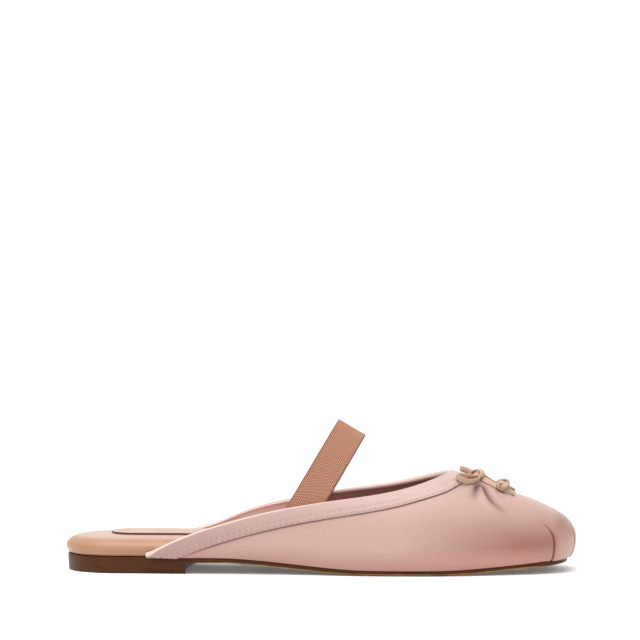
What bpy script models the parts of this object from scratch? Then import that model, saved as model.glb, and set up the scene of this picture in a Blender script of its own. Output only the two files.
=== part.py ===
"""A ballet flat for the right foot: a backless flat with a satin upper, a bound topline, an elastic strap
over the instep, a small lace bow, a padded footbed, a thin outsole and a low heel.

Lengths are in metres. X runs from heel to toe, Y from the outer (lateral) to the inner (medial) side, Z up.
The shoe is drawn with the back of the footbed at x = 0 and the floor at z = 0, then moved so that the origin
is at the middle of its underside.
"""
import math
from collections import namedtuple

import bpy
import numpy as np

# Driving sizes
LENGTH = 0.250            # back of the footbed to the tip of the toe
BALL_WIDTH = 0.080        # the upper's width at the ball
INSTEP_HEIGHT = 0.048     # the vamp at the throat, above the floor
HEEL_HEIGHT = 0.0052      # floor to the underside of the outsole at the heel
TOE_SPRING = 0.0054       # lift of the outsole's underside at the tip of the toe
OUTSOLE_THICKNESS = 0.0030
OUTSOLE_INSET = 0.0033    # the outsole's edge lies this far inside the upper's widest line
EDGE_BEVEL = 0.0012       # bevel round the underside of the outsole, in front of the heel
HEEL_LENGTH = 0.0615      # back of the footbed to the heel's breast
HEEL_BEVEL = 0.15         # the bevel over the heel, as a share of EDGE_BEVEL
BEVEL_RUN = 0.0150        # length over which the bevel grows, in front of the heel
HEEL_TAPER = 0.0005       # the heel's tread is smaller than its seat by this much all round
BREAST_HOLLOW = 0.0022    # depth of the curve in the heel's breast
UPPER_WALL = 0.0014       # satin, interlining and lining
FOOTBED_HEEL = 0.0093     # padded footbed at the heel
FOOTBED_BALL = 0.0052     # padded footbed at the ball
FOOTBED_CROWN = 0.0062    # the footbed's middle stands this much above its soft edge at the heel
CROWN_WIDTH = 0.0220      # from the edge to where the crown is level
CROWN_POWER = 2.8
CROWN_RINGS = (0.0006, 0.0020, 0.0045, 0.0085, 0.0140)
SOCK_THICKNESS = 0.0008
SOCK_BORDER = 0.0140      # footbed left bare at the sides of the heel
SOCK_SET_BACK = 0.0095    # and this much more behind it
SOCK_FRONT_BORDER = 0.0055
SOCK_RINGS = (0.0090, 0.0045)   # inside the sock's edge, innermost first
BAND_WIDTH = 0.0075       # binding along the topline
BAND_THROAT = 1.22        # it is wider by this factor round the throat
BAND_THICKNESS = 0.0007
BAND_LONGEST = 0.85       # share of a low column, near the rear tips, that the binding may cover
TOE_STEP = 0.0007         # height of the pleat that folds over each corner of the toe
STRAP_WIDTH = 0.0155
STRAP_THICKNESS = 0.0012
STRAP_RISE = 0.0425       # along the strap, from the topline to the top of its arch
STRAP_TUCK = 0.0130       # length sewn inside the upper
STRAP_LEAN = math.radians(30.4)
STRAP_LEAVE_SLOPE = 0.78  # how much higher the strap's front edge leaves the topline than its middle
STRAP_FULLNESS = 0.66     # how square the arch is
LACE_WIDTH = 0.0031
LACE_THICKNESS = 0.0011
LACE_END_LENGTH = 0.0026
BOW_LOOP_LENGTH = 0.0200
BOW_LOOP_WIDTH = 0.0040
BOW_TAIL_LENGTH = 0.0083
TAIL_SPREAD = math.radians(42)  # how far each tail is turned out from straight ahead
END_SPREAD = math.radians(4)    # and each free end, in front of its knot
BOW_KNOT_SIZE = (0.0072, 0.0064, 0.0048)
END_KNOT_SIZE = (0.0064, 0.0052, 0.0042)
END_KNOT_FRONT = 0.46      # where the free end starts, from the end knot's middle, as a share of its length
GAP = 0.0003              # left between pieces that touch
FOOTBED_CLEARANCE = 0.0008  # between the footbed's side and the upper

# The last. Stations are shares of LENGTH, widths shares of BALL_WIDTH, ridges shares of INSTEP_HEIGHT.
# centre is where the two halves meet, lateral and medial are measured outwards from it, and ridge is
# the height of the last's top line, which the open shoe shows only from the throat forward.
Section = namedtuple("Section", "station centre lateral medial ridge")
SECTIONS = [
    Section(0.00, 0.000, 0.372, 0.372, 0.98),
    Section(0.12, 0.000, 0.382, 0.378, 1.02),
    Section(0.24, 0.000, 0.385, 0.364, 1.06),
    Section(0.36, 0.000, 0.394, 0.346, 1.13),
    Section(0.46, 0.002, 0.420, 0.358, 1.09),
    Section(0.56, 0.008, 0.468, 0.418, 1.02),
    Section(0.66, 0.020, 0.498, 0.478, 1.005),
    Section(0.755, 0.032, 0.487, 0.487, 0.993),
    Section(0.83, 0.042, 0.442, 0.442, 0.868),
    Section(0.90, 0.050, 0.388, 0.388, 0.748),
    Section(0.95, 0.054, 0.350, 0.350, 0.680),
    Section(1.00, 0.056, 0.318, 0.318, 0.665),
]
# The topline: how high it stands over the widest line at each station on either side, as a share of the
# ridge's height over it. It starts below that line, at the rear tips, and meets the ridge at the throat.
ToplinePoint = namedtuple("ToplinePoint", "station lateral medial")
TOPLINE = [
    ToplinePoint(0.1735, -0.100, -0.100),
    ToplinePoint(0.1820, -0.080, -0.080),
    ToplinePoint(0.1928, -0.043, -0.043),
    ToplinePoint(0.2040, -0.006, -0.006),
    ToplinePoint(0.2144, 0.029, 0.027),
    ToplinePoint(0.2320, 0.080, 0.070),
    ToplinePoint(0.2700, 0.172, 0.135),
    ToplinePoint(0.3300, 0.280, 0.276),
    ToplinePoint(0.3900, 0.379, 0.404),
    ToplinePoint(0.4670, 0.508, 0.537),
    ToplinePoint(0.5640, 0.656, 0.701),
    ToplinePoint(0.6600, 0.777, 0.819),
    ToplinePoint(0.7180, 0.883, 0.906),
    ToplinePoint(0.7465, 0.966, 0.970),
    ToplinePoint(0.7570, 1.000, 1.000),
]
SECTION_SIDE_POWER = 2.5   # the section's curve: (share across) ** 2.5 + (share up) ** 2 = 1
SECTION_TOP_POWER = 2.0
TOE_DEPTH = 0.104          # shares of LENGTH over which toe and heel close
HEEL_DEPTH = 0.116
TOE_POWER = 2.9            # a squared toe
HEEL_POWER = 2.05
WIDEST_LIFT_HEEL = 0.0044  # the widest line above the upper's lowest line
WIDEST_LIFT_BALL = 0.0076
FEATHER_TUCK = 0.0030      # how far the upper curls in between its widest and its lowest line
FEATHER_DROP = 0.0008      # how far it hangs past the top of the outsole's edge, in front of its rear tips
FEATHER_DEGREES = -76.0    # the upper's lower edge
SEAT_END = 0.30            # stations where the sole's arch falls from the heel and lands
TREAD_START = 0.60
TREAD_END = 0.74
SPRING_POWER = 1.55
WAIST_THINNING = 0.94      # the outsole's thickness under heel and waist, as a share
TOE_PLEAT_STATION = 0.9572
PLEAT_FADE = (0.26, 0.50)  # the pleat dies away between these shares of the way up to the topline
STRAP_STATION = 0.4765     # middle of the strap on the topline
THROAT_STATION = TOPLINE[-1].station
BOW_STATION = 0.8075
WIDENING = (0.64, 0.74)    # stations between which the binding widens to the throat
BAND_STEEPEST = 0.35       # the least share of a column's run that counts as across the binding
BAND_END = 0.796           # the binding's lower edge on the ridge, in front of the throat
BAND_END_CURVE = 0.85      # and how fast that edge falls back to the sides
LACE_UPRIGHT = (0.28, 0.0, 0.96)   # the loops' lace stands on its edge, square to the vamp
# Each side of the bow. length is a share of BOW_LOOP_LENGTH, lift and rise are shares of LACE_WIDTH: how far
# the loop's tip is held off the vamp, and how far above it the tail leaves the knot. The loop leaves the knot
# start degrees back from square and curves until it points end degrees back.
BowSide = namedtuple("BowSide", "word length start end lift rise")
BOW_SIDES = {
    -1: BowSide("lateral", 1.00, -6.0, 67.0, 0.06, 0.40),
    1: BowSide("medial", 0.60, 12.0, 78.0, 0.08, 0.65),
}
LOOP_FULLNESS = 0.8        # of the loop's lace, which is widest near its tip
LOOP_ROUNDING = 0.85
STRANDS_APART = 0.8        # how far each strand of a loop lies off its middle at the knot, in LACE_THICKNESS
END_LIFT = (1.4, 0.7)      # height of a free end over the vamp, at its knot and at its tip, in LACE_THICKNESS
REAR_ALIGNED = 0.46        # up to this station the upper's columns stand square to the length

LOW_ROWS = 9               # rows of the upper below its binding
BAND_ROWS = 2
BEND_ROW_LENGTH = 0.020    # a radian's bend in a column counts as this much of its length
COLUMN_STEP = 0.0056
OUTLINE_POINTS = 56

COLOURS = {
    "satin": ((0.66, 0.43, 0.37), 0.38),
    "binding": ((0.66, 0.44, 0.39), 0.42),
    "elastic": ((0.46, 0.22, 0.13), 0.85),
    "footbed_leather": ((0.62, 0.38, 0.25), 0.45),
    "sock_leather": ((0.72, 0.48, 0.40), 0.55),
    "sole_leather": ((0.13, 0.055, 0.022), 0.45),
    "lace_leather": ((0.50, 0.31, 0.19), 0.55),
}


def spline(xs, ys):
    """A natural cubic spline through the points, held level past both ends."""
    xs, ys = np.array(xs, float), np.array(ys, float)
    count, step = len(xs), np.diff(xs)
    matrix, right = np.eye(count), np.zeros(count)
    for i in range(1, count - 1):
        matrix[i, i - 1:i + 2] = step[i - 1], 2 * (step[i - 1] + step[i]), step[i]
        right[i] = 6 * ((ys[i + 1] - ys[i]) / step[i] - (ys[i] - ys[i - 1]) / step[i - 1])
    bend = np.linalg.solve(matrix, right)

    def value(x):
        x = np.clip(np.asarray(x, float), xs[0], xs[-1])
        i = np.clip(np.searchsorted(xs, x) - 1, 0, count - 2)
        after, before, h = x - xs[i], xs[i + 1] - x, step[i]
        return ((bend[i] * before ** 3 + bend[i + 1] * after ** 3) / (6 * h)
                + (ys[i] / h - bend[i] * h / 6) * before + (ys[i + 1] / h - bend[i + 1] * h / 6) * after)

    return value


def section_column(name, size):
    """One column of SECTIONS as a function of x, in metres."""
    shares = spline([s.station for s in SECTIONS], [getattr(s, name) for s in SECTIONS])
    return lambda x: shares(np.asarray(x) / LENGTH) * size


centre_y = section_column("centre", BALL_WIDTH)
half_width = {-1: section_column("lateral", BALL_WIDTH), 1: section_column("medial", BALL_WIDTH)}
ridge_z = section_column("ridge", INSTEP_HEIGHT)


def smooth_step(x, start, end):
    """0 before start, 1 after end, with a level run-in and run-out."""
    t = np.clip((np.asarray(x, float) - start) / (end - start), 0.0, 1.0)
    return t * t * (3 - 2 * t)


def sole_underside(x):
    """Height of the outsole's underside: level on the heel, level on the tread, sprung at the toe."""
    arch = HEEL_HEIGHT * (1 - smooth_step(x, SEAT_END * LENGTH, TREAD_START * LENGTH))
    run = np.clip((np.asarray(x) - TREAD_END * LENGTH) / ((1 - TREAD_END) * LENGTH), 0.0, None)
    return arch + TOE_SPRING * run ** SPRING_POWER


def sole_top(x):
    fullness = WAIST_THINNING + (1 - WAIST_THINNING) * smooth_step(x, 0.36 * LENGTH, TREAD_START * LENGTH)
    return sole_underside(x) + OUTSOLE_THICKNESS * fullness


def feather_z(x):
    """Height of the footbed's underside."""
    return sole_top(x) + GAP


def widest_lift(x):
    return WIDEST_LIFT_HEEL + (WIDEST_LIFT_BALL - WIDEST_LIFT_HEEL) * smooth_step(x, 0.3 * LENGTH, 0.6 * LENGTH)


def widest_z(x):
    return feather_z(x) + widest_lift(x)


def curl_depth(x):
    """From the widest line down to the upper's lowest line."""
    return widest_lift(x) + FEATHER_DROP * smooth_step(x, 0.17 * LENGTH, 0.24 * LENGTH)


def ridge_lift(x):
    return ridge_z(x) - widest_z(x)


WALL_SPACE = UPPER_WALL + FOOTBED_CLEARANCE
HEEL_CENTRE_X = HEEL_DEPTH * LENGTH - WALL_SPACE
TOE_CENTRE_X = (1 - TOE_DEPTH) * LENGTH - TOE_STEP


def half_outline(side, steps=240):
    """The upper's widest line on one side, from the heel's middle to the toe's middle, as close points."""
    turn = np.linspace(0, math.pi / 2, steps)
    heel_x = HEEL_CENTRE_X - HEEL_DEPTH * LENGTH * np.cos(turn) ** (2 / HEEL_POWER)
    body_x = np.linspace(HEEL_CENTRE_X, TOE_CENTRE_X, 3 * steps)[1:-1]
    toe_x = TOE_CENTRE_X + TOE_DEPTH * LENGTH * np.sin(turn) ** (2 / TOE_POWER)
    across = np.concatenate([
        np.sin(turn) ** (2 / HEEL_POWER), np.ones(len(body_x)), np.abs(np.cos(turn)) ** (2 / TOE_POWER)])
    x = np.concatenate([heel_x, body_x, toe_x])
    across[-1] = 0.0
    return np.stack([x, centre_y(x) + side * half_width[side](x) * across], -1)


def arc_lengths(points):
    return np.concatenate([[0.0], np.cumsum(np.linalg.norm(np.diff(points, axis=0), axis=1))])


def resample(points, at):
    """Points of a polyline at the given lengths along it."""
    along = arc_lengths(points)
    return np.stack([np.interp(at, along, points[:, k]) for k in range(points.shape[1])], -1)


def inward(outline, side):
    """Unit normals of a half outline in plan, pointing into the shoe."""
    tangent = np.gradient(outline, axis=0)
    tangent /= np.linalg.norm(tangent, axis=1)[:, None]
    return np.stack([side * tangent[:, 1], -side * tangent[:, 0]], -1)


def share_across(x, y):
    """0 on the ridge and 1 on the widest line, in plan."""
    off = y - centre_y(x)
    reach = np.where(off < 0, half_width[-1](x), half_width[1](x))
    forward = np.clip((x - TOE_CENTRE_X) / (TOE_DEPTH * LENGTH), 0.0, None)
    return ((np.abs(off) / reach) ** TOE_POWER + forward ** TOE_POWER) ** (1 / TOE_POWER)


def surface_z(x, y):
    """Height of the last's upper side over a point in plan."""
    share = np.clip(share_across(x, y), 0.0, 1.0)
    return widest_z(x) + ridge_lift(x) * (1 - share ** SECTION_SIDE_POWER) ** (1 / SECTION_TOP_POWER)


def lower_side(edge, normal, angles):
    """The part of the section below the widest line, at angles from minus 90 degrees to 0."""
    plan = edge + normal * FEATHER_TUCK * (1 - np.cos(angles))[:, None]
    z = widest_z(plan[:, 0]) + curl_depth(plan[:, 0]) * np.sin(angles)
    return np.column_stack([plan, z])


def topline_curve(side, steps=500):
    """The topline on one side as close points, with the angle round the section of each."""
    heights = [p.lateral if side < 0 else p.medial for p in TOPLINE]
    at = spline(heights, [p.station for p in TOPLINE])
    height = np.sin(np.linspace(math.asin(heights[0]), math.pi / 2, steps))
    x = at(height) * LENGTH
    rise = height * ridge_lift(x)
    angle = np.arcsin(np.where(rise < 0, np.clip(rise / curl_depth(x), -1.0, 0.0), height))
    across = np.clip(np.cos(np.clip(angle, 0.0, None)), 0.0, 1.0) ** (2 / SECTION_SIDE_POWER)
    tuck = FEATHER_TUCK * (1 - np.cos(np.minimum(angle, 0.0)))
    y = centre_y(x) + side * (half_width[side](x) * across - tuck)
    return np.column_stack([x, y, widest_z(x) + rise]), angle


def upper_column(edge, normal, top, top_angle):
    """Close points up one column of the upper, from its lower edge to the topline."""
    start = math.radians(FEATHER_DEGREES)
    if top_angle <= 0:
        return lower_side(edge, normal, np.linspace(start, min(top_angle, -1e-3), 40))
    low = lower_side(edge, normal, np.linspace(start, 0.0, 30))
    share = np.linspace(0.0, 1.0, 160)[1:, None] ** 2
    plan = edge + (top[:2] - edge) * share
    high = np.column_stack([plan, surface_z(plan[:, 0], plan[:, 1])])
    high[-1] = top
    return np.concatenate([low, high])


def half_columns(side, step):
    """The upper's columns on one side from the rear tip to the toe's middle, and which lie past the pleat."""
    outline = half_outline(side)
    normals = inward(outline, side)
    along = arc_lengths(outline)
    top, angles = topline_curve(side)
    top_along = arc_lengths(top)
    x_aligned = REAR_ALIGNED * LENGTH
    side_part = outline[:, 1] * side > 0
    first = np.interp(top[0, 0], outline[side_part, 0], along[side_part])
    turn = np.interp(x_aligned, outline[side_part, 0], along[side_part])
    pleat = np.interp(TOE_PLEAT_STATION * LENGTH, outline[side_part, 0], along[side_part])
    half_fold = TOE_STEP / 2
    places = np.concatenate([
        np.linspace(first, turn, int(round((turn - first) / step)) + 1)[:-1],
        np.linspace(turn, pleat - half_fold, int(round((pleat - turn) / step)) + 1),
        np.linspace(pleat + half_fold, along[-1], int(round((along[-1] - pleat) / step)) + 1)])
    top_turn = np.interp(x_aligned, top[:, 0], top_along)
    columns = []
    for place in places:
        edge = np.array([np.interp(place, along, outline[:, k]) for k in (0, 1)])
        normal = np.array([np.interp(place, along, normals[:, k]) for k in (0, 1)])
        if place < turn:
            at = np.interp(edge[0], top[:, 0], top_along)
        else:
            at = top_turn + (top_along[-1] - top_turn) * (place - turn) / (along[-1] - turn)
        point = np.array([np.interp(at, top_along, top[:, k]) for k in (0, 1, 2)])
        columns.append(upper_column(edge, normal, point, np.interp(at, top_along, angles)))
    return columns, places > pleat


def upper_columns(step=COLUMN_STEP):
    """All columns, from the lateral rear tip round the toe to the medial one, and the pleated ones."""
    lateral, lateral_pleat = half_columns(-1, step)
    medial, medial_pleat = half_columns(1, step)
    return lateral + medial[-2::-1], np.concatenate([lateral_pleat, medial_pleat[-2::-1]])


def grid_normals(grid):
    """Outward unit normals of a grid whose columns run round the shoe and whose rows run up it."""
    normal = np.cross(np.gradient(grid, axis=0), np.gradient(grid, axis=1))
    return normal / np.linalg.norm(normal, axis=2)[:, :, None]


def band_depths(columns):
    """How far down each column the binding reaches, so that it is BAND_WIDTH wide square to the topline."""
    top = np.array([c[-1] for c in columns])
    down = np.array([c[-1] - resample(c, [arc_lengths(c)[-1] - BAND_WIDTH / 3])[0] for c in columns])
    down /= np.linalg.norm(down, axis=1)[:, None]
    along = np.gradient(top, axis=0)
    along /= np.linalg.norm(along, axis=1)[:, None]
    across = np.linalg.norm(np.cross(along, down), axis=1)
    lengths = np.array([arc_lengths(c)[-1] for c in columns])
    width = BAND_WIDTH * (1 + (BAND_THROAT - 1) * smooth_step(top[:, 0], WIDENING[0] * LENGTH, WIDENING[1] * LENGTH))
    return np.minimum(width / np.maximum(across, BAND_STEEPEST), lengths * BAND_LONGEST)


def row_places(column, depth):
    """Lengths up a column at which its rows lie: closer where the column bends, then the binding's."""
    along = arc_lengths(column)
    heading = np.diff(column, axis=0)
    heading /= np.linalg.norm(heading, axis=1)[:, None]
    bend = np.arccos(np.clip(np.sum(heading[1:] * heading[:-1], axis=1), -1.0, 1.0))
    counted = np.concatenate([[0.0], np.cumsum(np.diff(along) + BEND_ROW_LENGTH * np.append(bend, 0.0))])
    seam = along[-1] - depth
    low = np.interp(np.linspace(0, np.interp(seam, along, counted), LOW_ROWS + 1), counted, along)
    return np.concatenate([low, np.linspace(seam, along[-1], BAND_ROWS + 1)[1:]])


def upper_grid():
    columns, pleated = upper_columns()
    grid = np.array([resample(c, row_places(c, d)) for c, d in zip(columns, band_depths(columns))])
    normal = grid_normals(grid)
    normal[0], normal[-1] = normal[1], normal[-2]
    return grid, normal, pleated


def new_object(name, points, faces, material):
    mesh = bpy.data.meshes.new(name)
    mesh.from_pydata([tuple(p) for p in points], [], faces)
    mesh.validate()
    mesh.materials.append(MATERIALS[material])
    mesh.shade_smooth()
    mesh.set_sharp_from_angle(angle=math.radians(40))
    item = bpy.data.objects.new(name, mesh)
    bpy.context.scene.collection.objects.link(item)
    return item


def sheet_solid(name, outer, inner, material):
    """Closes two matching grids, outer and inner, into one solid. Its squares are split along the same
    diagonals, mirrored about the middle column, so that two such solids can lie close together."""
    wide, high = outer.shape[:2]
    points = np.concatenate([outer.reshape(-1, 3), inner.reshape(-1, 3)])
    inside = wide * high

    def out(i, j):
        return i * high + j

    faces = []
    for i in range(wide - 1):
        for j in range(high - 1):
            a, b, c, d = out(i, j), out(i + 1, j), out(i + 1, j + 1), out(i, j + 1)
            halves = ((a, b, c), (a, c, d)) if 2 * i < wide - 1 else ((a, b, d), (b, c, d))
            for half in halves:
                faces.append(half)
                faces.append([inside + k for k in reversed(half)])
    rim = ([out(i, 0) for i in range(wide)] + [out(wide - 1, j) for j in range(1, high)]
           + [out(i, high - 1) for i in range(wide - 2, -1, -1)] + [out(0, j) for j in range(high - 2, 0, -1)])
    for a, b in zip(rim, rim[1:] + rim[:1]):
        faces.append([b, a, inside + a, inside + b])
    return new_object(name, points, faces, material)


def ring_solid(name, rings, material, close_along):
    """Skins closed rings, lowest first. The end rings are filled by ladders across the shoe
    when close_along is 'width', or by a fan round their middle when it is 'middle'."""
    count = len(rings[0])
    points = [p for ring in rings for p in ring]
    faces = []
    for r in range(len(rings) - 1):
        for i in range(count):
            j = (i + 1) % count
            faces.append([r * count + i, r * count + j, (r + 1) * count + j, (r + 1) * count + i])
    for base, flip in ((0, True), ((len(rings) - 1) * count, False)):
        if close_along == "middle":
            points.append(np.mean(points[base:base + count], axis=0))
            cap = [[base + i, base + (i + 1) % count, len(points) - 1] for i in range(count)]
        else:
            cap = [[base + i, base + i + 1, base + count - 2 - i, base + count - 1 - i]
                   for i in range(count // 2 - 1)]
        faces += [list(reversed(f)) if flip else f for f in cap]
    return new_object(name, points, faces, material)


def build_upper():
    outer, normal, pleated = upper_grid()
    fade = 1 - smooth_step(np.arange(outer.shape[1]) / (outer.shape[1] - 1), *PLEAT_FADE)
    step = TOE_STEP * pleated[:, None] * fade[None, :]
    sheet_solid("upper", outer + normal * step[:, :, None], outer - normal * UPPER_WALL, "satin")


def build_band():
    """The binding: an angle section that covers the outside of the topline and its edge."""
    grid, normals, _ = upper_grid()
    rows, normal = grid[:, LOW_ROWS:], normals[:, LOW_ROWS:]
    up = rows[:, -1] - rows[:, -2]
    up /= np.linalg.norm(up, axis=1)[:, None]
    up[0], up[-1] = up[1], up[-2]
    edge, out = rows[:, -1], normal[:, -1]
    lift = up * (GAP + BAND_THICKNESS)
    corner = edge + out * (GAP + BAND_THICKNESS / 3) + lift
    inner_top = edge - out * UPPER_WALL + lift
    inner_low = edge - out * UPPER_WALL + up * GAP
    inner_corner = edge + out * GAP + up * GAP
    outer = np.concatenate([rows + normal * (GAP + BAND_THICKNESS), corner[:, None], inner_top[:, None]], axis=1)
    inner = np.concatenate([rows + normal * GAP, inner_corner[:, None], inner_low[:, None]], axis=1)
    sheet_solid("topline_band", outer, inner, "binding")


def loop_outline(count=OUTLINE_POINTS):
    """The widest line as one closed loop of count points, lateral side first, with inward normals.
    Point i and point count - 1 - i face each other across the shoe."""
    points, normals = [], []
    for side in (-1, 1):
        outline = half_outline(side)
        along = arc_lengths(outline)
        places = (np.arange(count // 2) + 0.5) / (count // 2) * along[-1]
        picked = resample(outline, places)
        facing = inward(outline, side)
        found = np.stack([np.interp(places, along, facing[:, k]) for k in (0, 1)], -1)
        points.append(picked if side < 0 else picked[::-1])
        normals.append(found if side < 0 else found[::-1])
    normals = np.concatenate(normals)
    return np.concatenate(points), normals / np.linalg.norm(normals, axis=1)[:, None]


def flat_ring(edge, normal, inset, height):
    """A ring inset from the widest line, with its height given by a function of x."""
    plan = edge + normal * np.broadcast_to(inset, len(edge))[:, None]
    return np.column_stack([plan, height(plan[:, 0])])


def build_outsole():
    edge, normal = loop_outline()

    def bevel(x):
        return EDGE_BEVEL * (HEEL_BEVEL + (1 - HEEL_BEVEL) * smooth_step(x, HEEL_LENGTH, HEEL_LENGTH + BEVEL_RUN))

    rings = [
        flat_ring(edge, normal, OUTSOLE_INSET + bevel(edge[:, 0]), sole_underside),
        flat_ring(edge, normal, OUTSOLE_INSET, lambda x: sole_underside(x) + bevel(x)),
        flat_ring(edge, normal, OUTSOLE_INSET, sole_top),
    ]
    ring_solid("outsole", rings, "sole_leather", "width")


def heel_ring(inset, z, count=30, breast_points=9):
    """The heel's outline at one height: the outline's rear, closed by the hollow breast."""
    sides = []
    for side in (-1, 1):
        outline = half_outline(side)
        plan = outline + inward(outline, side) * inset
        rear = plan[plan[:, 0] <= HEEL_LENGTH]
        sides.append(resample(rear, np.linspace(0, arc_lengths(rear)[-1], count // 2 + 1)))
    lateral, medial = sides
    width = np.linspace(-1, 1, breast_points)
    y = lateral[-1, 1] + (medial[-1, 1] - lateral[-1, 1]) * (width + 1) / 2
    x = lateral[-1, 0] - BREAST_HOLLOW * (1 - width ** 2)
    breast = np.column_stack([x, y])[1:-1]
    loop = np.concatenate([lateral, breast, medial[:0:-1]])
    return np.column_stack([loop, np.full(len(loop), z)])


def build_heel():
    top = HEEL_HEIGHT - GAP
    rings = [heel_ring(OUTSOLE_INSET + HEEL_TAPER, 0.0), heel_ring(OUTSOLE_INSET, top)]
    ring_solid("heel", rings, "sole_leather", "middle")


def footbed_top(x):
    """Height of the footbed's upper side."""
    fall = smooth_step(x, 0.22 * LENGTH, 0.62 * LENGTH)
    return feather_z(x) + FOOTBED_HEEL + (FOOTBED_BALL - FOOTBED_HEEL) * fall


def wall_clearance_ring(edge, normal, height):
    """Where the upper's inner face, moved in by the clearance, stands at a height given as a function of x."""
    angles = np.radians(np.linspace(FEATHER_DEGREES, 0.0, 24))
    depth = curl_depth(edge[:, 0])[:, None]
    outward_part = depth * np.cos(angles)
    down_part = FEATHER_TUCK * np.sin(angles)
    size = np.hypot(outward_part, down_part)
    inset = FEATHER_TUCK * (1 - np.cos(angles)) + WALL_SPACE * outward_part / size
    z = widest_z(edge[:, 0])[:, None] + depth * np.sin(angles) - WALL_SPACE * down_part / size
    plan = edge
    for _ in range(3):
        found = np.array([np.interp(h, zs, insets) for h, zs, insets in zip(height(plan[:, 0]), z, inset)])
        plan = edge + normal * found[:, None]
    return np.column_stack([plan, height(plan[:, 0])])


def footbed_crown(x):
    return FOOTBED_CROWN * (0.4 + 0.6 * (1 - smooth_step(x, 0.2 * LENGTH, 0.6 * LENGTH)))


def footbed_surface(plan):
    """Height of the footbed's upper side over points in plan: a soft edge that rises to a level middle."""
    outline = np.concatenate([half_outline(-1), half_outline(1)])
    inside = np.linalg.norm(plan[:, None] - outline[None], axis=2).min(axis=1) - WALL_SPACE
    share = 1 - np.clip(inside / CROWN_WIDTH, 0.0, 1.0)
    return footbed_top(plan[:, 0]) - footbed_crown(plan[:, 0]) * (1 - np.sqrt(1 - share ** CROWN_POWER))


def build_footbed():
    """The padded footbed: it fills the upper's lower wall and stands bare and soft-edged at the heel."""
    edge, normal = loop_outline()
    foot = wall_clearance_ring(edge, normal, lambda x: feather_z(x) + UPPER_WALL + 2 * GAP)
    shoulder = wall_clearance_ring(edge, normal, lambda x: footbed_top(x) - footbed_crown(x))
    middle = wall_clearance_ring(
        edge, normal, lambda x: (feather_z(x) + UPPER_WALL + footbed_top(x) - footbed_crown(x)) / 2 + GAP)
    base = foot[:, :2] + normal * UPPER_WALL / 2
    rings = [np.column_stack([base, feather_z(base[:, 0])]), foot, middle, shoulder]
    for inset in CROWN_RINGS:
        plan = edge + normal * (WALL_SPACE + inset)
        rings.append(np.column_stack([plan, footbed_surface(plan)]))
    ring_solid("footbed", rings, "footbed_leather", "width")


def sock_ring(edge, normal, inset, lift):
    """A ring of the sock: a bare border left round the heel, close to the upper in front."""
    bare = smooth_step(edge[:, 0], 0.24 * LENGTH, 0.38 * LENGTH)
    border = SOCK_BORDER - (SOCK_BORDER - SOCK_FRONT_BORDER) * bare
    plan = edge + normal * (WALL_SPACE + border + inset)[:, None]
    plan[:, 0] += SOCK_SET_BACK * (1 - smooth_step(plan[:, 0], 0.0, 0.30 * LENGTH))
    return np.column_stack([plan, footbed_surface(plan) + lift])


def build_sock():
    edge, normal = loop_outline()
    under, over = GAP, GAP + SOCK_THICKNESS
    rings = [sock_ring(edge, normal, inset, under) for inset in (*SOCK_RINGS, 0.0)]
    rings.append(sock_ring(edge, normal, 0.0, (under + over) / 2))
    rings += [sock_ring(edge, normal, inset, over) for inset in (SOCK_THICKNESS / 2, *SOCK_RINGS[::-1])]
    ring_solid("sock_lining", rings, "sock_leather", "width")


def wall_y(x, z, side, inset):
    """Y of the last's side at a height, moved in by inset square to the section."""
    up = np.clip((z - widest_z(x)) / ridge_lift(x), 0.0, 0.98)
    across = (1 - up ** SECTION_TOP_POWER) ** (1 / SECTION_SIDE_POWER)
    slope_up = SECTION_TOP_POWER * up ** (SECTION_TOP_POWER - 1) / ridge_lift(x)
    slope_out = SECTION_SIDE_POWER * across ** (SECTION_SIDE_POWER - 1) / half_width[side](x)
    lean = slope_out / np.hypot(slope_up, slope_out)
    return centre_y(x) + side * (half_width[side](x) * across - inset / lean)


def bezier(points, t):
    a, b, c, d = points
    return a * (1 - t) ** 3 + 3 * b * t * (1 - t) ** 2 + 3 * c * t ** 2 * (1 - t) + d * t ** 3


def strap_base():
    """Where the middle of the strap crosses the topline, in side view."""
    top, _ = topline_curve(-1)
    x = STRAP_STATION * LENGTH
    return x, np.interp(x, top[:, 0], top[:, 2])


def strap_line(offset, tuck_points=5, arch_points=13):
    """One line along the strap at an offset across its width: up one wall, over the instep, down the other."""
    base_x, base_z = strap_base()
    rise = (math.sin(STRAP_LEAN), math.cos(STRAP_LEAN))
    leave = offset * STRAP_LEAVE_SLOPE
    inset = UPPER_WALL + 1.5 * GAP + STRAP_THICKNESS / 2

    def place(h):
        x = base_x + offset * rise[1] + h * rise[0]
        return x, base_z - offset * rise[0] + h * rise[1]

    halves = []
    for side in (-1, 1):
        line = []
        for h in np.linspace(-STRAP_TUCK, leave, tuck_points):
            x, z = place(h)
            line.append((x, float(wall_y(x, z, side, inset)), z))
        start = line[-1][1]
        lean = (start - line[-2][1]) / ((leave + STRAP_TUCK) / (tuck_points - 1))
        reach = STRAP_RISE - leave
        middle = float(centre_y(place(STRAP_RISE)[0]))
        ys = (start, start + lean * reach * 0.40, middle + (start - middle) * STRAP_FULLNESS, middle)
        hs = (leave, leave + reach * 0.52, STRAP_RISE, STRAP_RISE)
        for t in np.linspace(0, 1, arch_points)[1:]:
            x, z = place(bezier(hs, t))
            line.append((x, float(bezier(ys, t)), z))
        halves.append(line)
    return np.array(halves[0] + halves[1][-2::-1])


def build_strap():
    lines = np.array([strap_line(w) for w in np.linspace(-0.5, 0.5, 5) * STRAP_WIDTH])
    normal = -grid_normals(lines)
    half = STRAP_THICKNESS / 2
    sheet_solid("instep_strap", lines[::-1] + normal[::-1] * half, lines[::-1] - normal[::-1] * half, "elastic")


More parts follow.
